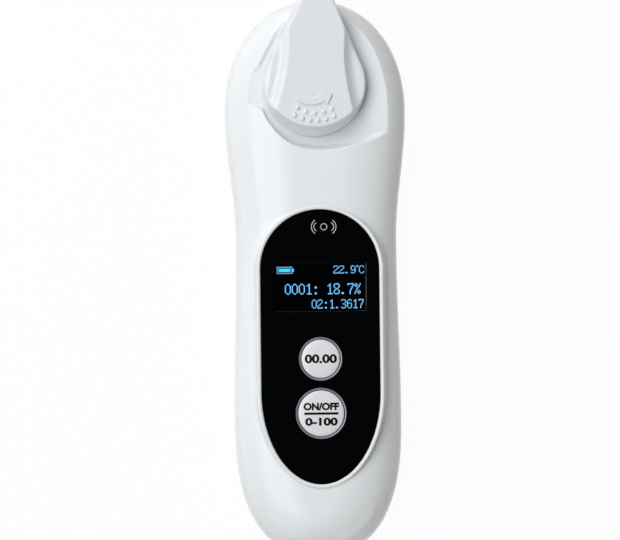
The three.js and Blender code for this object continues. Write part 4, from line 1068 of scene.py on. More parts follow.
@dataclass
class UpperShell:
    """The front shell: a crowned skin with the lid's recess, the panel's surround and the lug."""

    body: Body
    recess: Recess
    panel: PanelForm
    wall: float = 1.1
    band_share: float = 0.93
    band_loops: int = 12
    panel_blend: float = 0.7
    edge_blend: Pair = (0.1, 0.34)
    edge_rise: float = 0.6
    panel_gap: float = 0.1
    panel_ledge: float = 1.6
    stage_radius: float = 13.1
    stage_step: float = 1.2
    sleeve_radius: float = 12.1
    sleeve_depth: float = 2.8
    hole_steps: int = 96
    lug_radius: float = 4.3
    lug_edge: Pair = (0.1, 0.35)
    bush_radius: float = 3.1

    def heights(self, points: Array) -> Array:
        """The outer skin's height at each point in plan.

        Args:
            points: Points in plan.

        Returns:
            The heights.
        """
        crown = self.body.front_height(self.body.share_at(points))
        raised = soft_max(crown, self.panel.heights(points), self.panel_blend)
        floor = self.recess.heights(points, crown)
        least, more = self.edge_blend
        radius = least + more * ease(floor, self.recess.floor, self.recess.floor + self.edge_rise)
        return soft_min(raised, floor, radius)

    def from_stage(self, points: Array) -> Array:
        """How far each point in plan lies outside the stage's opening."""
        return np.hypot(*(points - STAGE_CENTRE).T) - self.stage_radius

    def loose_points(self) -> Array:
        """Points over the crown, clear of the surround, the recess's wall and the stage.

        Returns:
            The points in plan, closer together where the recess's floor meets the dome.
        """
        run_out = self.body.share_of_height(self.recess.floor)
        shares = list(np.linspace(self.band_share - 0.012, 0.03, 46))
        shares += [run_out + step for step in (-0.009, -0.0055, -0.003, -0.001, 0.001, 0.003, 0.0055, 0.009)]
        points = np.vstack([self.body.ring(float(share)) for share in shares])
        beyond_top, beyond_foot = self.recess.gaps(points)
        on_wall = (beyond_top < 0.9) & (beyond_foot > -0.75)
        return points[(self.panel.margin_at(points) > 4.6) & ~on_wall & (self.from_stage(points) >= 0.4)]

    def wall_rows(self) -> list[Array]:
        """Rows along the recess's wall.

        Returns:
            The stretches that lie on the crown and clear of the stage.
        """
        rows = []
        for row in self.recess.rows():
            on_crown = self.body.share_at(row) < self.band_share - 0.006
            rows += stretches(row, on_crown & (self.from_stage(row) > 0.3))
        return rows

    def skin(self) -> Draft:
        """The outer skin, with its openings' walls.

        Returns:
            The skin's draft.
        """
        draft = Draft()
        loops = []
        for share in self.body.share_rows(self.band_share, self.band_loops):
            edge = self.body.ring(float(share))
            loops.append(at_height(edge, self.heights(edge) if share < 1 else self.body.front_foot))
        draft.skin(loops)
        hole = self.panel.ring(self.panel_gap)
        stage_hole = circle(STAGE_CENTRE, self.stage_radius, self.hole_steps)
        rows = self.wall_rows() + self.panel.rows()
        corners, triangles = triangulate(edge, [hole, stage_hole], rows, self.loose_points())
        draft.surface(at_height(corners, self.heights(corners)), triangles)
        seat, ledge = at_height(hole, PANEL_SEAT), at_height(self.panel.ring(-self.panel_ledge), PANEL_SEAT)
        draft.skin([at_height(hole, self.heights(hole)), seat, ledge])
        sleeve = circle(STAGE_CENTRE, self.sleeve_radius, self.hole_steps)
        floor = self.recess.floor
        step = floor - self.stage_step
        draft.skin([at_height(stage_hole, floor), at_height(stage_hole, step), at_height(sleeve, step),
                    at_height(sleeve, floor - self.sleeve_depth)])
        return draft

    def build(self) -> Piece:
        """The shell with its wall's thickness and the lid's lug.

        Returns:
            The piece, dressed.
        """
        skin = object_from(self.skin().bmesh(), "front_skin")
        thick = skin.modifiers.new("wall", "SOLIDIFY")
        thick.thickness, thick.offset = self.wall * MM, -1.0
        applied(skin)
        made = bmesh.new()
        made.from_mesh(skin.data)
        bpy.data.objects.remove(skin)
        lug = Draft()
        inner, outer, top = self.bush_radius, self.lug_radius, self.recess.floor
        small, large = self.lug_edge
        lug.lathe([(inner, LUG_FOOT), (outer, LUG_FOOT), (outer, top - large), (outer - small, top - small),
                   (outer - large, top), (inner, top), (inner, LUG_FOOT)], PIVOT, 48)
        take_in(made, lug.bmesh())
        shell = object_from(made, "front_shell")
        return dress(shell, GLOSS_WHITE, "housing", ("upper_housing",))


# Repeated pieces


@cache
def instancer_tree() -> Tree:
    """The geometry tree that sets a template on each point of a mesh.

    Returns:
        The tree, built once, with the inputs Template and Finish.
    """
    tree = node_group("set_on_points", "GeometryNodeTree", {
        "Geometry": ("Geometry", None), "Template": ("Object", None), "Finish": ("Material", None),
    }, {"Geometry": "Geometry"})
    nodes = tree.nodes
    given, result = nodes.new("NodeGroupInput"), nodes.new("NodeGroupOutput")
    template, spread = nodes.new("GeometryNodeObjectInfo"), nodes.new("GeometryNodeInstanceOnPoints")
    whole, paint = nodes.new("GeometryNodeRealizeInstances"), nodes.new("GeometryNodeSetMaterial")
    connect(
        tree,
        (given, "Template", template, "Object"), (given, "Geometry", spread, "Points"),
        (template, "Geometry", spread, "Instance"), (spread, "Instances", whole, "Geometry"),
        (whole, "Geometry", paint, "Geometry"), (given, "Finish", paint, "Material"),
        (paint, "Geometry", result, "Geometry"),
    )
    return tree


@cache
def coil_tree() -> Tree:
    """The geometry tree that winds a wire along a line of points.

    Returns:
        The tree, built once, with the inputs Wire radius, Wire sides and Finish.
    """
    tree = node_group("wind_wire", "GeometryNodeTree", {
        "Geometry": ("Geometry", None), "Wire radius": ("Float", 0.0003), "Wire sides": ("Int", 10),
        "Finish": ("Material", None),
    }, {"Geometry": "Geometry"})
    nodes = tree.nodes
    given, result = nodes.new("NodeGroupInput"), nodes.new("NodeGroupOutput")
    line, section = nodes.new("GeometryNodeMeshToCurve"), nodes.new("GeometryNodeCurvePrimitiveCircle")
    tube, paint = nodes.new("GeometryNodeCurveToMesh"), nodes.new("GeometryNodeSetMaterial")
    whole = nodes.new("GeometryNodeRealizeInstances")
    tube.inputs["Fill Caps"].default_value = True
    connect(
        tree,
        (given, "Geometry", line, "Mesh"), (given, "Wire radius", section, "Radius"),
        (given, "Wire sides", section, "Resolution"), (line, "Curve", tube, "Curve"),
        (section, "Curve", tube, "Profile Curve"), (tube, "Mesh", whole, "Geometry"),
        (whole, "Geometry", paint, "Geometry"), (given, "Finish", paint, "Material"),
        (paint, "Geometry", result, "Geometry"),
    )
    return tree


def grown(tree: Tree, name: str, points: Array, edges: list[tuple[int, int]],
          values: dict[str, object]) -> Piece:
    """Runs a geometry tree on points and keeps the result as plain mesh.

    Args:
        tree: The tree.
        name: The piece's name.
        points: The points, in millimetres.
        edges: Pairs of point numbers that a line follows.
        values: The tree's inputs by name.

    Returns:
        The piece, smooth-shaded.
    """
    mesh = bpy.data.meshes.new(name)
    mesh.from_pydata((np.asarray(points, float) * MM).tolist(), edges, [])
    made = bpy.data.objects.new(name, mesh)
    bpy.context.scene.collection.objects.link(made)
    step = made.modifiers.new("grow", "NODES")
    step.node_group = tree
    for item in tree.interface.items_tree:
        if item.item_type == "SOCKET" and item.in_out == "INPUT" and item.name in values:
            step[item.identifier] = values[item.name]
    applied(made)
    made.data.shade_smooth()
    made.data.set_sharp_from_angle(angle=SMOOTH_ANGLE)
    return made


def repeated(name: str, template: Piece, points: list[Triple] | Array, finish: Finish) -> Piece:
    """Sets a template on each point and keeps the result as one plain mesh.

    Args:
        name: The piece's name.
        template: The shape that repeats, round the origin, used up here.
        points: Where it goes, in millimetres.
        finish: The piece's finish.

    Returns:
        The piece.
    """
    made = grown(instancer_tree(), name, points, [], {"Template": template, "Finish": finish.material()})
    bpy.data.objects.remove(template)
    return made


# Lid


@dataclass
class LidForm:
    """The lid's upper side, seen from its pivot with the round end below."""

    turn: float = -1.9
    reach: float = 28.8
    round_radius: float = 16.6
    neck_radius: float = 4.6
    height: float = 6.6
    rib_along: tuple[float, ...] = (0.0, 19.0, 21.5, 25.5, 30.3, 34.1, 37.2, 47.0)
    rib_half: tuple[float, ...] = (8.95, 8.9, 9.05, 9.6, 10.5, 11.45, 12.3, 15.0)
    rib_blend: float = 0.22
    cove: float = 3.9
    left_cove: float = 2.85
    crease: float = 0.13
    crease_along: Pair = (14.0, 36.5)
    crease_fade: Pair = (4.0, 3.0)
    facet: tuple[Pair, Pair] = ((-13.4, -19.5), (-15.42, -32.8))
    facet_slope: float = 0.42
    cove_depth: float = 2.3
    cove_power: float = 2.2
    roll: float = 2.4
    roll_drop: float = 0.24
    neck_lean: float = 0.12
    foot_lean: float = 0.5
    neck_edge: float = 0.5
    foot_edge: float = 0.9
    foot_along: Pair = (31.0, 45.0)
    emboss: float = 0.6
    foot_z: float = 25.4
    hub_radius: float = 1.9
    hub_foot: float = -8.2
    pocket_radius: float = 14.8
    pocket_top: float = 2.5
    arrow: tuple[Pair, ...] = (
        (-6.25, -33.4), (-5.2, -34.5), (-3.2, -35.3), (-0.8, -35.45), (1.6, -34.95), (3.0, -34.25),
        (4.05, -35.15), (5.6, -31.75), (1.3, -31.55), (2.0, -32.3), (0.8, -32.75), (-0.8, -33.25),
        (-2.4, -33.45), (-4.4, -33.35), (-6.1, -33.05),
    )

    def to_housing(self, points: Array) -> Array:
        """Points of the lid's own plan as the closed lid has them in the housing's frame."""
        plan = turned(points, self.turn) + PIVOT
        return np.column_stack([plan, points[:, 2:] + self.foot_z])

    def inset_at(self, points: Array) -> Array:
        """How far inside the lid's outline each point lies.

        Args:
            points: Points in the lid's own plan.

        Returns:
            The insets, below zero outside.
        """
        lean = (self.round_radius - self.neck_radius) / self.reach
        level = math.sqrt(1 - lean * lean)
        x, along = np.abs(points[:, 0]), -points[:, 1]
        neck = np.hypot(x, along) - self.neck_radius
        foot = np.hypot(x, along - self.reach) - self.round_radius
        straight = level * x - lean * along - self.neck_radius
        across = level * along + lean * x
        return -np.where(across < 0, neck, np.where(across > level * self.reach, foot, straight))

    def ring(self, inset: float, steps: int = 150) -> Array:
        """The lid's outline drawn in by an inset, anticlockwise from the right of its neck.

        Args:
            inset: The inset.
            steps: Points along the round foot.

        Returns:
            The points.
        """
        lean = math.degrees(math.asin((self.round_radius - self.neck_radius) / self.reach))
        small, large = self.neck_radius - inset, self.round_radius - inset
        neck = arc((0, 0), (small, small), lean, 180 - lean, steps // 3)
        foot = arc((0, -self.reach), (large, large), 180 - lean, 360 + lean, steps)
        left = np.linspace(neck[-1], foot[0], 60)[1:-1]
        right = np.linspace(foot[-1], neck[0], 60)[1:-1]
        return np.vstack([neck, left, foot, right])

    def rib_edge(self, along: Array) -> Array:
        """The rib's half width at a distance from the pivot."""
        return np.interp(along, self.rib_along, self.rib_half)

    def beyond_facet(self, points: Array) -> Array:
        """How far each point lies outside the straight foot line of the left facet.

        Args:
            points: Points in the lid's own plan.

        Returns:
            The distances, below zero inside.
        """
        start, end = map(np.array, self.facet)
        along = (end - start) / np.linalg.norm(end - start)
        return (points - start) @ np.array([along[1], -along[0]])

    def top(self, points: Array) -> Array:
        """The height of the rib, its coves, the left crease and facet, before the edge falls away.

        Args:
            points: Points in the lid's own plan.

        Returns:
            The heights.
        """
        left, along = points[:, 0] < 0, -points[:, 1]
        beside = np.abs(points[:, 0]) - self.rib_edge(along)
        width = np.where(left, self.left_cove, self.cove)
        share = np.clip(beside / width, 0, 1)
        low = self.height - self.cove_depth * (1 - (1 - share) ** self.cove_power)
        near = np.clip(1 - self.inset_at(points) / np.where(left, self.roll / 2, self.roll), 0, 1)
        low = low - self.roll_drop * near ** 2 * ease(beside, 1.0, width)
        (start, end), (rise, fall) = self.crease_along, self.crease_fade
        fade = ease(along, start, start + rise) * (1 - ease(along, end - fall, end))
        low = low - left * fade * self.crease * ease(beside, width - 0.05, width + 0.1)
        low = low - left * self.facet_slope * np.maximum(self.beyond_facet(points), 0)
        rib = np.full(len(beside), self.height)
        return soft_min(low + np.maximum(-beside, 0), rib, self.rib_blend)

    def heights(self, points: Array) -> Array:
        """The lid's upper side: its top, its rounded edge, its leaning side and the arrow.

        Args:
            points: Points in the lid's own plan.

        Returns:
            The heights above the lid's foot.
        """
        top = self.top(points)
        foot = ease(-points[:, 1], *self.foot_along)
        lean = self.neck_lean + (self.foot_lean - self.neck_lean) * foot
        radius = self.neck_edge + (self.foot_edge - self.neck_edge) * foot
        inset = self.inset_at(points)
        wall = lean * (top - radius)
        into = np.clip((inset - wall) / radius, 0, 1)
        edge = top - radius * (1 - np.sqrt(1 - (1 - into) ** 2))
        height = np.where(inset < wall, inset / lean, edge)
        arrow = signed_distance(points, np.array(self.arrow))
        return np.maximum(height, 0) + self.emboss * (1 - ease(arrow, -0.14, 0.08))

    def rows(self) -> list[Array]:
        """Rows of points round the lid's edge, over the coves and round the arrow.

        Returns:
            The rows.
        """
        insets = [0.12, 0.3, 0.5, 0.7, 0.85, 1.0, 1.2, 1.4, 1.6, 1.8, 2.0, 2.2, 2.4, 2.6, 2.85, 3.1, 3.4, 3.8]
        rows = [closed(self.ring(inset)) for inset in insets]
        along = np.linspace(6, 46, 90)
        edge = np.column_stack([-self.rib_edge(along), -along])
        for offset in (-0.5, -0.25, -0.1, 0.0, 0.08, 0.2, 0.4, 0.7, 1.1, 1.6, 2.1, 2.6, 3.1, 3.7, 4.4):
            for sign in (1, -1):
                row = (edge - [offset, 0.0]) * [sign, 1]
                good = self.inset_at(row) > 3.9
                if good.sum() > 2:
                    rows.append(row[good])
        along = np.linspace(*self.crease_along, 60)
        for offset in (-0.06, 0.02, 0.11):
            row = np.column_stack([-self.rib_edge(along) - self.left_cove - offset, -along])
            rows.append(row[self.inset_at(row) > 1.0])
        start, end = map(np.array, self.facet)
        row = start + np.linspace(-0.06, 1.06, 40)[:, None] * (end - start)
        for offset in (0.0, 0.07):
            moved = row - [offset, 0.0]
            rows.append(moved[self.inset_at(moved) > 0.15])
        line = resample(closed(np.array(self.arrow)), 0.22)
        return rows + offset_rows(line, [-0.22, -0.1, -0.02, 0.08, 0.2, 0.32])


@dataclass
class Lid:
    """The lid with its grip dots, placed by pixels of the photograph, its soft pad and its hub."""

    form: LidForm
    grid: float = 0.8
    dot_radius: float = 0.76
    dot_height: float = 0.66
    dot_sink: float = 0.1
    dot_pixels: tuple[Pair, ...] = (
        (295.4, 107.9), (303.6, 111.8), (312.5, 113.3), (321.6, 112.1), (329.7, 109.5),
        (292.5, 115.2), (300.0, 118.8), (307.9, 120.6), (315.8, 120.8), (323.9, 119.6), (331.8, 116.6),
    )
    mm_per_pixel: float = 0.32
    middle_pixel: Pair = (316.5, 278.0)
    pad_rim: float = 2.4
    pad_gap: float = 0.1
    pad_hollow: float = 1.25

    def loose_points(self) -> Array:
        """An even grid of points over the lid, clear of its edge, its coves and the arrow.

        Returns:
            The points in the lid's own plan.
        """
        form = self.form
        x, y = np.meshgrid(np.arange(-17, 17.1, self.grid), np.arange(-46, 5, self.grid))
        points = np.column_stack([x.ravel(), y.ravel()])
        points = points[form.inset_at(points) > 4.2]
        beside = np.abs(np.abs(points[:, 0]) - form.rib_edge(-points[:, 1]) - 1.9)
        arrow = np.abs(signed_distance(points, np.array(form.arrow)))
        return points[(beside > 2.9) & (arrow > 0.6)]

    def cover(self) -> Piece:
        """The lid itself: its upper side, its flat rim below, the pad's pocket and the hub.

        Returns:
            The piece.
        """
        form, draft = self.form, Draft()
        outer = form.ring(0.0)
        corners, triangles = triangulate(outer, [], form.rows(), self.loose_points())
        draft.surface(form.to_housing(at_height(corners, form.heights(corners))), triangles)
        pocket = circle((0, -form.reach), form.pocket_radius, 96)
        hub = circle((0, 0), form.hub_radius, 32)
        corners, triangles = triangulate(outer, [pocket, hub], [], np.empty((0, 2)))
        draft.surface(form.to_housing(at_height(corners, 0.0)), triangles[:, ::-1])
        for loop, end in ((pocket, form.pocket_top), (hub, form.hub_foot)):
            mouth, bottom = (form.to_housing(at_height(loop, z)) for z in (0.0, end))
            draft.skin([bottom, mouth])
            tip = draft.add(form.to_housing(np.array([[*loop.mean(axis=0), end]])))
            first, count = draft.add(bottom), len(loop)
            draft.faces.extend((tip, first + (i + 1) % count, first + i) for i in range(count))
        return object_from(draft.bmesh(), "lid_cover")

    def grip_dots(self) -> Piece:
        """The eleven domed dots below the arrow, set on the rib.

        Returns:
            The piece.
        """
        dome = Draft()
        profile = [(self.dot_radius, -self.dot_sink)]
        for angle in np.radians(np.linspace(0, 90, 6))[:-1]:
            profile.append((self.dot_radius * math.cos(angle), self.dot_height * math.sin(angle)))
        dome.lathe([*profile, (0.0, self.dot_height)], steps=18)
        plan = (np.array(self.dot_pixels) - self.middle_pixel) * self.mm_per_pixel * [1, -1]
        heights = self.form.heights(turned(plan - PIVOT, -self.form.turn)) + self.form.foot_z
        points = [(x, y, z) for (x, y), z in zip(plan, heights)]
        return repeated("lid_grip_dots", object_from(dome.bmesh(), "dot"), points, SATIN_GREY)

    def pad(self) -> Piece:
        """The soft pad in the lid's pocket, with its raised rim towards the stage.

        Returns:
            The piece.
        """
        form = self.form
        outer, inner = form.pocket_radius - self.pad_gap, form.pocket_radius - self.pad_rim
        hollow, top = self.pad_hollow, form.pocket_top - 0.02
        profile = [(0.0, hollow), (inner - 0.3, hollow), (inner, hollow - 0.3), (inner, 0.25),
                   (inner + 0.25, 0.02), (outer - 0.25, 0.02), (outer, 0.25), (outer, top), (0.0, top)]
        centre = form.to_housing(np.array([[0.0, -form.reach]]))[0]
        return lathed("lid_pad", [(r, z + form.foot_z) for r, z in profile], tuple(centre), 96)

    def build(self) -> None:
        """Builds and dresses the lid's pieces."""
        dress(self.cover(), SATIN_GREY, "lid", ("lid",))
        dress(self.grip_dots(), SATIN_GREY, "lid")
        dress(self.pad(), SOFT_BLACK, "lid", ("lid_light_pad",))


# Front panel, display and buttons


def lettering(text: str, width: float, height: float, weight: float) -> bmesh.types.BMesh:
    """Plain characters as a flat mesh, centred on the origin and scaled to a size.

    Args:
        text: The characters.
        width: Their width together, in millimetres.
        height: Their height, in millimetres.
        weight: How much each stroke is thickened, as a share of the character size.

    Returns:
        The mesh, in metres.
    """
    curve = bpy.data.curves.new("characters", "FONT")
    curve.body, curve.offset, curve.resolution_u = text, weight, 6
    holder = bpy.data.objects.new("characters", curve)
    bpy.context.scene.collection.objects.link(holder)
    graph = bpy.context.evaluated_depsgraph_get()
    mesh = bpy.data.meshes.new_from_object(holder.evaluated_get(graph), depsgraph=graph)
    made = bmesh.new()
    made.from_mesh(mesh)
    bpy.data.objects.remove(holder)
    bpy.data.curves.remove(curve)
    bpy.data.meshes.remove(mesh)
    spots = np.array([v.co[:2] for v in made.verts])
    low, high = spots.min(axis=0), spots.max(axis=0)
    scale = np.array([width, height]) * MM / (high - low)
    for vert in made.verts:
        x, y = (np.array(vert.co[:2]) - (low + high) / 2) * scale
        vert.co = (x, y, 0.0)
    bmesh.ops.subdivide_edges(made, edges=made.edges, cuts=1)
    bmesh.ops.triangulate(made, faces=made.faces)
    return made


@dataclass
class FacePanel:
    """The glossy oval panel with its printed signal mark."""

    form: PanelForm
    edge: float = 0.22
    window: Pair = (30.1, 15.6)
    window_y: float = -2.9
    buttons: tuple[Pair, ...] = ((-25.8, 7.05), (-43.2, 8.25))
    mark: Pair = (1.45, 16.35)
    mark_radius: float = 1.0
    mark_line: float = 0.2
    mark_lift: float = 0.012
    mark_arcs: tuple[Triple, ...] = ((1.66, 1.5, 60), (1.4, 2.53, 57))

    def plate(self) -> Piece:
        """The panel's plate, with its rounded edge and its three openings.

        Returns:
            The piece.
        """
        draft = Draft()
        drops = [(0.0, self.edge), (0.3, 0.09), (0.65, 0.02), (1.0, 0.0)]
        edges = [at_height(self.form.ring(-self.edge * share), PANEL_TOP - drop) for share, drop in drops]
        outline = self.form.ring(0.0)
        draft.skin([at_height(outline, PANEL_SEAT), *edges])
        half_x, half_y = self.window[0] / 2, self.window[1] / 2
        corners = np.array([[-half_x, -half_y], [half_x, -half_y], [half_x, half_y], [-half_x, half_y]])
        holes = [corners + [0.0, self.window_y]]
        holes += [circle((0.0, y), radius, 96) for y, radius in self.buttons]
        for outer, height, order in ((edges[-1][:, :2], PANEL_TOP, 1), (outline, PANEL_SEAT, -1)):
            points, triangles = triangulate(outer, holes, [], np.empty((0, 2)))
            draft.surface(at_height(points, height), triangles[:, ::order])
        for hole in holes:
            draft.skin([at_height(hole, PANEL_TOP), at_height(hole, PANEL_SEAT)])
        return object_from(draft.bmesh(), "panel_plate")

    def signal_mark(self) -> Piece:
        """A small ring with two arcs on each side, printed near the panel's head end.

        Returns:
            The piece.
        """
        strokes = [(0.0, self.mark_radius, 0, 360, 40)]
        for offset, radius, spread in self.mark_arcs:
            strokes.append((offset, radius, -spread, spread, 18))
            strokes.append((-offset, radius, 180 - spread, 180 + spread, 18))
        draft = Draft()
        for offset, radius, start, end, steps in strokes:
            centre = (self.mark[0] + offset, self.mark[1])
            radii = (radius + self.mark_line / 2, radius - self.mark_line / 2)
            sides = [arc(centre, (side, side), start, end, steps) for side in radii]
            draft.skin([at_height(side, PANEL_TOP + self.mark_lift) for side in sides], joined=False)
        return object_from(draft.bmesh(), "signal_mark")

    def build(self) -> None:
        """Builds and dresses the panel's pieces."""
        dress(self.plate(), GLOSS_BLACK, "housing", ("face_panel",))
        dress(self.signal_mark(), PRINT_GREY, "housing")


GLYPHS: dict[str, str] = {
    "0": "001100 010010 100001 100001 100001 100001 100001 100001 100001 010010 001100",
    "1": "000100 001100 010100 000100 000100 000100 000100 000100 000100 000100 011111",
    "2": "011110 100001 100001 000001 000010 000100 001000 010000 100000 100001 111111",
    "3": "011110 100001 000001 000001 000010 001100 000010 000001 000001 100001 011110",
    "6": "001110 010001 100000 100000 101110 110001 100001 100001 100001 010001 001110",
    "7": "111111 100001 000001 000010 000010 000100 000100 001000 001000 001000 001000",
    "8": "011110 100001 100001 100001 010010 001100 010010 100001 100001 100001 011110",
    "9": "011100 100010 100001 100001 100001 100011 011101 000001 000001 100010 011100",
    "%": "010001 101001 101010 010010 000100 001000 001000 010010 010101 100101 100010",
    "C": "001110 010001 100001 100000 100000 100000 100000 100000 100001 010001 001110",
    "o": "11 11 00 00 00 00 00 00 00 00 00",
    ".": "000000 000000 000000 000000 000000 000000 000000 000000 000000 011000 011000",
    ":": "000000 000000 000000 001100 001100 000000 000000 000000 000000 001100 001100",
    " ": "000000 000000 000000 000000 000000 000000 000000 000000 000000 000000 000000",
}


@dataclass(frozen=True)
class Line:
    """A line of characters on the display, by its left end, its foot and its dots' pitch and rise."""

    name: str
    text: str
    left: float
    foot: float
    pitch: float
    rise: float


@dataclass
class Display:
    """The lit dots of the readout, just above the display cell's face."""

    face: float = 25.7
    dot_share: float = 0.86
    dot_height: float = 0.03
    lift: float = 0.01
    lines: tuple[Line, ...] = (
        Line("upper", "22.9oC", 4.55, 1.4, 0.264, 0.228),
        Line("middle", "0001: 18.7%", -11.05, -5.2, 0.319, 0.312),
        Line("lower", "02:1.3617", -2.5, -9.75, 0.268, 0.262),
    )
    battery: Sides = (-13.6, 1.45, -8.6, 3.72)
    battery_line: float = 0.3
    battery_inset: float = 0.62
    battery_nub: Pair = (0.05, 0.5)
    pane: Sides = (-14.2, -10.6, 14.95, 4.75)
    # Widths of the painted highlight strips along the pane's right edge and its lower edge
    pane_highlight_widths: Pair = (0.256, 0.08)

    def dots(self, line: Line) -> Piece:
        """Every lit dot of a line of plain numbers.

        Args:
            line: The line.

        Returns:
            The piece.
        """
        points, place = [], line.left
        for character in line.text:
            rows = GLYPHS[character].split()
            for row, dots in enumerate(rows):
                y = line.foot + (len(rows) - row - 0.5) * line.rise
                points += [(place + (i + 0.5) * line.pitch, y, self.face + self.lift)
                           for i, lit in enumerate(dots) if lit == "1"]
            place += (len(rows[0]) + 1) * line.pitch
        half_x, half_y = self.dot_share * line.pitch / 2, self.dot_share * line.rise / 2
        dot = box_draft((-half_x, -half_y, 0.0), (half_x, half_y, self.dot_height))
        return repeated(f"readout_{line.name}", object_from(dot.bmesh(), "dot"), points, READOUT_GLOW)

    def strips(self, name: str, boxes: list[Sides]) -> Piece:
        """Lit strips on the display's face, each by its left, foot, right and head.

        Args:
            name: The piece's name.
            boxes: The sides of each strip.

        Returns:
            The piece.
        """
        draft = Draft()
        low = self.face + self.lift
        for x0, y0, x1, y1 in boxes:
            strip = box_draft((x0, y0, low), (x1, y1, low + self.dot_height))
            first = draft.add(np.vstack(strip.points))
            draft.faces.extend(tuple(first + i for i in face) for face in strip.faces)
        return object_from(draft.bmesh(), name)

    def build(self) -> None:
        """Builds and dresses the painted highlight along the pane's right and lower edges, the lines and the
        battery sign.
        """
        left, low, right, high = self.pane
        side, foot = self.pane_highlight_widths
        # Strips of painted highlight on the pane's right and lower edges, where light catches the glass edge
        edge = [(right - side, low, right, high), (left, low, right - side, low + foot)]
        dress(self.strips("pane_edge", edge), PANE_EDGE_HIGHLIGHT, "housing")
        for line in self.lines:
            dress(self.dots(line), READOUT_GLOW, "housing")
        left, low, right, high = self.battery
        wide, inset, (near, far) = self.battery_line, self.battery_inset, self.battery_nub
        frame_sides = [
            (left, high - wide, right, high), (left, low, right, low + wide),
            (left, low + wide, left + wide, high - wide), (right - wide, low + wide, right, high - wide),
        ]
        filling, nub = (left + inset, right - inset), (right + near, right + far)
        bar = [(start, low + inset, end, high - inset) for start, end in (filling, nub)]
        dress(self.strips("charge_frame", frame_sides), FRAME_GLOW, "housing")
        dress(self.strips("charge_bar", bar), CHARGE_GLOW, "housing")


@dataclass
class Mark:
    """A plain mark on a button's cap: characters, or a bar where there are none."""

    width: float
    height: float
    y: float
    text: str = ""
    weight: float = 0.04

    def flat(self) -> bmesh.types.BMesh:
        """The mark as a flat mesh about the origin, in metres.

        Returns:
            The mesh, with faces small enough to lie on a dome.
        """
        if self.text:
            return lettering(self.text, self.width, self.height, self.weight)
        made = bmesh.new()
        half_x, half_y = self.width * MM / 2, self.height * MM / 2
        corners = ((-half_x, -half_y), (half_x, -half_y), (half_x, half_y), (-half_x, half_y))
        made.faces.new([made.verts.new((x, y, 0)) for x, y in corners])
        bmesh.ops.subdivide_edges(made, edges=made.edges, cuts=7, use_grid_fill=True)
        bmesh.ops.triangulate(made, faces=made.faces)
        return made


@dataclass
class Button:
    """A push button: its silver ring, its domed cap and the marks printed on it."""

    name: str
    y: float
    cap_radius: float
    marks: tuple[Mark, ...]
    rise: float = 0.9
    dome: float = 0.5
    dome_share: float = 0.94
    cap_flange: Pair = (24.3, 25.3)
    stem_radius: float = 2.2
    stem_foot: float = 23.4
    ring_gap: float = 0.3
    ring_wall: float = 0.5
    ring_rise: float = 0.4
    ring_flange: Pair = (25.6, 26.4)
    flange: float = 0.7
    print_lift: float = 0.02

    def ring(self) -> Piece:
        """The ring, with a rounded upper edge and its flange under the panel.

        Returns:
            The piece.
        """
        inner = self.cap_radius + self.ring_gap
        outer, top = inner + self.ring_wall, PANEL_TOP + self.ring_rise
        rim, (low, high) = outer + self.flange, self.ring_flange
        profile = [
            (inner, low), (rim, low), (rim, high), (outer, high), (outer, top - 0.25),
            (outer - 0.06, top - 0.09), (outer - 0.16, top), (inner + 0.16, top), (inner + 0.06, top - 0.06),
            (inner, top - 0.18), (inner, low),
        ]
        return lathed(f"{self.name}_ring", profile, (0.0, self.y), 128)

    def height(self, radius: float) -> float:
        """The cap's height at a radius."""
        share = min(radius / self.cap_radius, 1.0)
        return PANEL_TOP + self.rise - self.dome * share ** 4

    def cap(self) -> Piece:
        """The cap, with its dome, its rounded edge and its flange and stem.

        Returns:
            The piece.
        """
        radius, edge = self.cap_radius, self.height(self.cap_radius * self.dome_share)
        shares = [self.dome_share, 0.9, 0.85, 0.78, 0.7, 0.6, 0.45, 0.3, 0.15, 0.0]
        dome = [(radius * share, self.height(radius * share)) for share in shares]
        (low, high), stem, foot = self.cap_flange, self.stem_radius, self.stem_foot
        profile = [
            (0.0, foot), (stem, foot), (stem, low), (radius + self.flange, low), (radius + self.flange, high),
            (radius, high), (radius, edge - 0.45), (radius * 0.994, edge - 0.25),
            (radius * 0.975, edge - 0.09), *dome,
        ]
        return lathed(f"{self.name}_cap", profile, (0.0, self.y), 128)

    def printing(self) -> Piece:
        """The marks, laid over the cap's dome.

        Returns:
            The piece.
        """
        joined = bmesh.new()
        for mark in self.marks:
            made = mark.flat()
            for vert in made.verts:
                x, y = vert.co.x / MM, vert.co.y / MM + mark.y
                height = self.height(math.hypot(x, y)) + self.print_lift
                vert.co = (x * MM, (y + self.y) * MM, height * MM)
            take_in(joined, made)
        for face in joined.faces:
            face.normal_update()
            if face.normal.z < 0:
                face.normal_flip()
        return object_from(joined, f"{self.name}_print")

    def build(self) -> None:
        """Builds and dresses the button's pieces."""
        silver = replace(SILVER, name=f"silver_ring_{self.name}", axis=(0.0, self.y), color_shift=0.03)
        body = f"{self.name}_button"
        dress(self.ring(), silver, "housing", (f"{body}_ring",))
        dress(self.cap(), BUTTON_WHITE, body, (f"{body}_cap",))
        dress(self.printing(), PRINT_BLACK, body)


# Back, battery bay and small parts


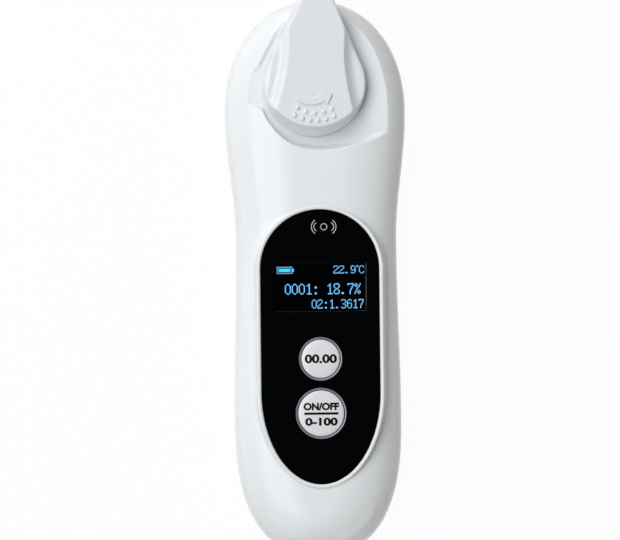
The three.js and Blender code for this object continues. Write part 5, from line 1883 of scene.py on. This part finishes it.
@dataclass
class BackShell:
    """The back shell with its battery bay, its door and the seal above it."""

    body: Body
    wall: float = 2.2
    steps: int = 19
    step_power: float = 0.85
    overrun: float = 2.0
    shell_edge: float = 0.18
    bay: Sides = (-11.1, -73.95, 11.1, -24.05)
    bay_wall: float = 1.2
    bay_top: float = 13.1
    bay_levels: Pair = (1.1, 14.3)
    door_half: float = 13.0
    door_head: float = -22.25
    door_foot: float = -95.0
    door_thickness: float = 2.0
    door_edge: float = 0.16
    door_room: float = 0.3
    seat: float = 1.5
    seat_top: float = 2.1
    rim: float = 2.4
    rim_top: float = 3.3
    tongue: float = 1.2
    lip: float = 0.8
    tongue_room: float = 0.1
    post_radius: float = 3.8
    post_foot: float = -1.0
    head_hole: Pair = (2.6, 4.7)
    shaft_hole: Pair = (1.55, 16.0)
    skin_gap: float = 0.05
    grooves: int = 5
    groove_pitch: float = 2.0
    groove_y: float = -68.0
    groove_size: Triple = (12.0, 1.0, 0.5)
    seal_inset: float = 0.5
    below: float = -3.0

    def levels(self, inset: float, foot: float) -> list[Array]:
        """Loops of the back's section, from its flat up to its parting edge.

        Args:
            inset: How far it is drawn in.
            foot: The flat's height.

        Returns:
            The loops.
        """
        body, power = self.body, self.body.back_power
        loops = []
        for step in np.linspace(0, 1, self.steps) ** self.step_power:
            depth = step * (1 - body.back_flat ** power) ** (1 / power)
            share = (1 - depth ** power) ** (1 / power)
            loops.append(at_height(body.ring(share, inset), body.back_top + (foot - body.back_top) * step))
        return loops[::-1]

    def solid(self, inset: float, foot: float, over: float = 0.0) -> Draft:
        """A closed solid of the section, its upper side carried up by an overrun.

        Args:
            inset: How far it is drawn in.
            foot: The flat's height.
            over: The overrun.

        Returns:
            The solid.
        """
        draft = Draft()
        loops = self.levels(inset, foot)
        if over:
            loops.append(loops[-1] + [0, 0, over])
        firsts = draft.skin(loops)
        count = len(loops[0])
        draft.faces.append(tuple(firsts[0] + i for i in reversed(range(count))))
        draft.faces.append(tuple(firsts[-1] + i for i in range(count)))
        return draft

    def door_box(self, margin: float, low: float, high: float) -> Draft:
        """The door's plan grown by a margin, running out past the foot end."""
        half, head = self.door_half + margin, self.door_head + min(margin, self.door_room)
        return box_draft((-half, self.door_foot, low), (half, head, high))

    def in_section(self, draft: Draft) -> Piece:
        """What of a draft lies inside the back's section, just under its skin.

        Args:
            draft: The draft, a closed solid.

        Returns:
            What is kept.
        """
        kept = object_from(draft.bmesh(), "kept", recalculate=True)
        cut_with(kept, self.solid(self.skin_gap, 0.0), "INTERSECT")
        return kept

    def screw_place(self, shell: Piece, place: Pair) -> None:
        """Gives the shell a screw's post, and the hole through it.

        Args:
            shell: The shell.
            place: The screw's place in plan.
        """
        (head, shelf), (shaft, over) = self.head_hole, self.shaft_hole
        radius, foot, top, low = self.post_radius, self.post_foot, self.body.back_top, self.below
        post, hole = Draft(), Draft()
        post.lathe([(0.0, foot), (radius, foot), (radius, top), (0.0, top)], place, 40)
        cut_with(shell, self.in_section(post), "UNION")
        steps = [(0.0, low), (head, low), (head, shelf), (shaft, shelf), (shaft, over), (0.0, over)]
        hole.lathe(steps, place, 40)
        cut_with(shell, hole)

    def shell(self) -> Piece:
        """The back shell, hollow, with its bay, its screw recesses and the door's seat.

        Returns:
            The piece.
        """
        left, foot, right, head = self.bay
        wall, (low, high) = self.bay_wall, self.bay_levels
        shell = object_from(self.solid(0.0, 0.0).bmesh(), "back_shell", recalculate=True)
        cut_with(shell, self.solid(self.wall, self.wall, self.overrun))
        bay = box_draft((left - wall, foot - wall, low), (right + wall, head + wall, high))
        cut_with(shell, bay, "UNION")
        cut_with(shell, self.in_section(self.door_box(self.rim, self.seat_top, self.rim_top)), "UNION")
        for place in HOUSING_SCREWS:
            self.screw_place(shell, place)
        cut_with(shell, box_draft((left, foot, self.below), (right, head, self.bay_top)))
        cut_with(shell, self.door_box(self.door_room, self.below, self.seat_top))
        cut_with(shell, self.door_box(self.seat, self.lip, self.seat_top))
        soften(shell, self.shell_edge)
        return shell

    def door(self) -> Piece:
        """The battery door, with its side tongues and the grip grooves.

        Returns:
            The piece.
        """
        top = self.door_thickness
        plate = object_from(self.door_box(0.0, 0.0, top).bmesh(), "door", recalculate=True)
        cut_with(plate, self.door_box(self.tongue, self.lip + self.tongue_room, top - 0.001), "UNION")
        cut_with(plate, self.solid(0.0, 0.0), "INTERSECT")
        wide, broad, deep = self.groove_size
        for i in range(self.grooves):
            y = self.groove_y + (i - (self.grooves - 1) / 2) * self.groove_pitch
            cut_with(plate, box_draft((-wide / 2, y - broad / 2, -1.0), (wide / 2, y + broad / 2, deep)))
        soften(plate, self.door_edge)
        return plate

    def seal(self) -> Piece:
        """The thin seal between the shells.

        Returns:
            The piece.
        """
        outer, inner = self.body.outline(self.seal_inset), self.body.outline(self.wall)
        low, high = self.body.back_top, self.body.front_foot
        loops = [(outer, low), (outer, high), (inner, high), (inner, low), (outer, low)]
        draft = Draft()
        draft.skin([at_height(loop, height) for loop, height in loops])
        return object_from(draft.bmesh(), "seal_line")

    def build(self) -> None:
        """Builds and dresses the back's pieces."""
        dress(self.shell(), GLOSS_WHITE, "housing", ("lower_housing",))
        dress(self.door(), GLOSS_WHITE, "battery_door", ("battery_door",))
        dress(self.seal(), SOFT_BLACK, "housing", ("housing_seal",))


@dataclass
class Stage:
    """The sample stage, turned from stainless steel, with its prism and the lid's bush."""

    radius: float = 13.0
    collar_radius: float = 12.0
    collar_drop: float = 3.4
    step_drop: float = 1.2
    well_radius: float = 11.6
    well_depth: float = 2.6
    window_radius: float = 4.0
    bush_radii: Pair = (2.2, 3.0)

    def ring(self) -> Piece:
        """The stage, with the curved well that falls to the prism's window.

        Returns:
            The piece.
        """
        top, window, collar = RECESS_FLOOR, self.window_radius, self.collar_radius
        foot, step = top - self.collar_drop, top - self.step_drop
        reach, angles = self.well_radius - window, np.linspace(0, math.pi / 2, 15)[1:]
        well = [(window + reach * math.cos(a), top - self.well_depth * math.sin(a)) for a in angles]
        profile = [
            (window, foot), (collar, foot), (collar, step), (self.radius, step), (self.radius, top - 0.12),
            (self.radius - 0.12, top), (self.well_radius + 0.12, top), (self.well_radius, top - 0.05),
            *well, (window, foot),
        ]
        return lathed("stage_ring", profile, STAGE_CENTRE, 128)

    def bush(self) -> Piece:
        """The brass bush in the lug.

        Returns:
            The piece.
        """
        top, foot, (bore, radius), edge = RECESS_FLOOR, LUG_FOOT, self.bush_radii, 0.1
        profile = [
            (bore, foot), (radius, foot), (radius, top - edge), (radius - edge, top), (bore + edge, top),
            (bore, top - edge), (bore, foot),
        ]
        return lathed("pivot_bush", profile, PIVOT, 48)

    def build(self) -> None:
        """Builds and dresses the stage's pieces."""
        dress(self.ring(), STAINLESS, "housing", ("sample_stage",))
        dress(self.bush(), BRASS, "housing", ("lid_pivot_bush",))


@dataclass
class Cell:
    """A battery cell along the body, with the spring behind it."""

    side: str
    x: float
    direction: int
    z: float = 7.6
    bay_centre: float = -49.0
    bay_length: float = 49.9
    radius: float = 5.2
    nub: float = 1.2
    foot: float = 44.5
    contact: float = 0.5
    coil_gap: float = 0.8
    coil_rise: float = 3.7
    coil_radii: Pair = (3.6, 2.2)
    coil_turns: float = 3.0
    coil_points: int = 96
    wire: float = 0.35

    def along(self, from_nub: float) -> float:
        """The place along the body of a point, measured from the bay's end at the nub."""
        return self.bay_centre + self.direction * (self.bay_length / 2 - from_nub)

    def can(self) -> Piece:
        """The cell, with its rolled ends and its nub.

        Returns:
            The piece.
        """
        radius, nub, foot = self.radius, self.nub, self.foot
        profile = [
            (0.0, 0.0), (1.7, 0.0), (1.9, 0.2), (1.9, nub), (radius - 1.1, nub), (radius - 0.5, nub + 0.05),
            (radius - 0.1, nub + 0.3), (radius, nub + 0.7), (radius, foot - 0.5),
            (radius - 0.15, foot - 0.15), (radius - 0.6, foot), (0.0, foot),
        ]
        draft = Draft()
        draft.lathe(profile[::-1])
        turn = Matrix.Rotation(math.radians(90 * self.direction), 4, "X")
        place = Matrix.Translation((self.x * MM, self.along(self.contact) * MM, self.z * MM)) @ turn
        return object_from(draft.bmesh(place), f"cell_{self.side}", recalculate=True)

    def spring(self) -> Piece:
        """The coiled contact spring, wider at its plate than at the cell.

        Returns:
            The piece.
        """
        share = np.linspace(0, 1, self.coil_points)
        angle = 2 * math.pi * self.coil_turns * share
        wide, narrow = self.coil_radii
        radius = wide + (narrow - wide) * share
        y = self.along(self.bay_length - self.coil_gap) + self.direction * self.coil_rise * share
        points = np.column_stack([self.x + radius * np.cos(angle), y, self.z + radius * np.sin(angle)])
        edges = [(i, i + 1) for i in range(self.coil_points - 1)]
        values = {"Wire radius": self.wire * MM, "Wire sides": 10, "Finish": SPRING_STEEL.material()}
        return grown(coil_tree(), f"coil_{self.side}", points, edges, values)

    def build(self) -> None:
        """Builds and dresses the cell and its spring."""
        dress(self.can(), CELL_WRAP, "housing", (f"battery_cell_{self.side}",))
        dress(self.spring(), SPRING_STEEL, "housing", (f"battery_spring_{self.side}",))


@dataclass
class ScrewRow:
    """The housing's screws, with a cross recess, their heads facing down."""

    seat: float = 4.6
    shaft: float = 1.25
    head: float = 2.3
    head_height: float = 1.6
    length: float = 13.0

    def screw(self) -> Draft:
        """One screw, standing on its head with the head's seat at the origin.

        Returns:
            The screw.
        """
        height, radius, shaft, length = self.head_height, self.head, self.shaft, self.length
        draft = Draft()
        draft.lathe([
            (0.0, -height), (radius * 0.62, -height), (radius * 0.88, -height * 0.86),
            (radius, -height * 0.55), (radius, 0.0), (shaft, 0.0), (shaft, length - 0.4),
            (shaft * 0.6, length), (0.0, length),
        ], steps=24)
        return draft

    def build(self) -> None:
        """Cuts the cross recess, sets the screws in place and dresses them."""
        template = object_from(self.screw().bmesh(), "screw", recalculate=True)
        reach, width, depth = self.head * 0.58, self.head * 0.17, self.head_height
        for x, y in ((reach, width), (width, reach)):
            cut_with(template, box_draft((-x, -y, -2 * depth), (x, y, -depth / 2)))
        places = at_height(np.array(HOUSING_SCREWS), self.seat)
        nodes = tuple(f"housing_screw_{i}" for i in range(1, len(places) + 1))
        dress(repeated("housing_screws", template, places, PLATED), PLATED, "housing", nodes)


def dress_nodes() -> None:
    """Gives each node that is shown as it is the finish of its slot."""
    finishes = {
        "window_clear": OPTICAL_GLASS, "display_dark": DISPLAY_DARK, "brass": BRASS, "rubber": SOFT_BLACK,
        "board_green": BOARD_GREEN, "moulded_black": MOULDED_BLACK, "contact_steel": SPRING_STEEL,
        "screw_steel": PLATED, "housing_white": GLOSS_WHITE, "lid_grey": SATIN_GREY,
        "panel_black": GLOSS_BLACK, "button_white": BUTTON_WHITE, "ring_silver": SILVER,
        "stage_steel": STAINLESS, "cell_wrap": CELL_WRAP,
    }
    for entry in frame["record"]["subparts"]:
        node = frame["nodes"][entry["node"]]
        finish = CLEAR_WINDOW if entry["node"] == "display_window" else finishes[entry["material_slot"]]
        node.data.materials.clear()
        node.data.materials.append(finish.material())


# Studio


@dataclass
class Softbox:
    """A soft rectangular lamp that looks at the object's middle."""

    name: str
    place: Triple
    size: Pair
    power: float

    def build(self, target: Vector) -> None:
        """Hangs the lamp and aims it at a target, all in metres.

        Args:
            target: The point.
        """
        lamp = bpy.data.lights.new(self.name, "AREA")
        lamp.shape, lamp.size, lamp.size_y, lamp.energy = "RECTANGLE", *self.size, self.power
        holder = bpy.data.objects.new(self.name, lamp)
        bpy.context.scene.collection.objects.link(holder)
        holder.location = self.place
        holder.rotation_euler = (target - holder.location).to_track_quat("-Z", "Y").to_euler()


@dataclass
class Studio:
    """The pale floor, the lamps and the camera that looks almost straight down, in metres."""

    camera_distance: float = 5.0
    tilt: float = 4.0
    roll: float = -0.63
    centre: Triple = (-0.0021, 0.0026, 0.014)
    view_width: float = 0.1984
    lit_point: Triple = (0.0, 0.0, 0.02)
    world: Triple = (0.045, 0.046, 0.047)
    floor_half: float = 3.0
    floor_grey: float = 0.8
    floor_roughness: float = 0.9
    floor_glow: float = 0.96
    lamps: tuple[Softbox, ...] = (
        Softbox("key_left", (-0.545, 0.077, 0.953), (1.1, 0.7), 8.6),
        Softbox("key_head", (-0.28, 0.84, 0.654), (0.9, 0.6), 6.2),
        Softbox("fill_foot", (-0.641, -0.764, 0.465), (0.7, 0.4), 1.1),
        Softbox("fill_right", (0.656, -0.781, 0.412), (0.9, 0.4), 2.8),
    )

    def floor(self) -> None:
        """A wide pale floor that the camera sees white, with the object's shadow kept."""
        mesh, half = bpy.data.meshes.new("floor"), self.floor_half
        corners = [(-half, -half, 0), (half, -half, 0), (half, half, 0), (-half, half, 0)]
        mesh.from_pydata(corners, [], [(0, 1, 2, 3)])
        floor = bpy.data.objects.new("floor", mesh)
        bpy.context.scene.collection.objects.link(floor)
        paint = bpy.data.materials.new("pale_floor")
        paint.use_nodes = True
        tree, nodes = paint.node_tree, paint.node_tree.nodes
        shader = nodes["Principled BSDF"]
        shader.inputs["Base Color"].default_value = (*[self.floor_grey] * 3, 1)
        shader.inputs["Roughness"].default_value = self.floor_roughness
        glow, mix = nodes.new("ShaderNodeEmission"), nodes.new("ShaderNodeMixShader")
        path = nodes.new("ShaderNodeLightPath")
        seen, clear = math_node(tree, "MAXIMUM"), math_node(tree, "MAXIMUM")
        share = math_node(tree, "MULTIPLY", second=self.floor_glow)
        connect(
            tree,
            (path, "Is Camera Ray", seen, 0), (path, "Is Glossy Ray", seen, 1), (seen, 0, clear, 0),
            (path, "Is Transmission Ray", clear, 1), (clear, 0, share, 0), (share, 0, mix, "Fac"),
            (shader, "BSDF", mix, 1), (glow, "Emission", mix, 2),
            (mix, "Shader", nodes["Material Output"], "Surface"),
        )
        mesh.materials.append(paint)

    def camera(self) -> Piece:
        """The camera, tilted a little to the object's left.

        Returns:
            The camera.
        """
        lens = bpy.data.cameras.new("camera")
        lens.lens = lens.sensor_width * self.camera_distance / self.view_width
        lens.clip_start, lens.clip_end = 0.05, 20.0
        camera = bpy.data.objects.new("camera", lens)
        bpy.context.scene.collection.objects.link(camera)
        tilt = Matrix.Rotation(math.radians(-self.tilt), 4, "Y")
        roll = Matrix.Rotation(math.radians(self.roll), 4, "Z")
        back = Matrix.Translation((0, 0, self.camera_distance))
        camera.matrix_world = Matrix.Translation(self.centre) @ tilt @ roll @ back
        return camera

    def build(self) -> None:
        """Sets the floor, the world, the lamps, the camera and the view."""
        scene = bpy.context.scene
        self.floor()
        world = bpy.data.worlds.new("studio")
        world.use_nodes = True
        world.node_tree.nodes["Background"].inputs["Color"].default_value = (*self.world, 1)
        world.node_tree.nodes["Background"].inputs["Strength"].default_value = 1.0
        scene.world = world
        for lamp in self.lamps:
            lamp.build(Vector(self.lit_point))
        scene.camera = self.camera()
        scene.view_settings.view_transform = "Standard"


def main() -> None:
    """Builds every piece in order, then the studio."""
    logging.basicConfig(level=logging.INFO, format="%(message)s")
    body, panel, form = Body(), PanelForm(), LidForm()
    dress_nodes()
    UpperShell(body, Recess(), panel).build()
    BackShell(body).build()
    Lid(form).build()
    FacePanel(panel).build()
    Display().build()
    Button("zero", -25.8, 6.15, (Mark(10.3, 2.85, 0.05, "00.00", 0.04),)).build()
    Button("start", -43.2, 7.35, (
        Mark(11.4, 2.45, 2.2, "ON/OFF", 0.053),
        Mark(10.9, 0.74, -0.05),
        Mark(10.4, 2.6, -2.65, "0-100", 0.046),
    )).build()
    Stage().build()
    Cell("left", -5.6, 1).build()
    Cell("right", 5.6, -1).build()
    ScrewRow().build()
    Studio().build()


if __name__ == "__main__":
    main()
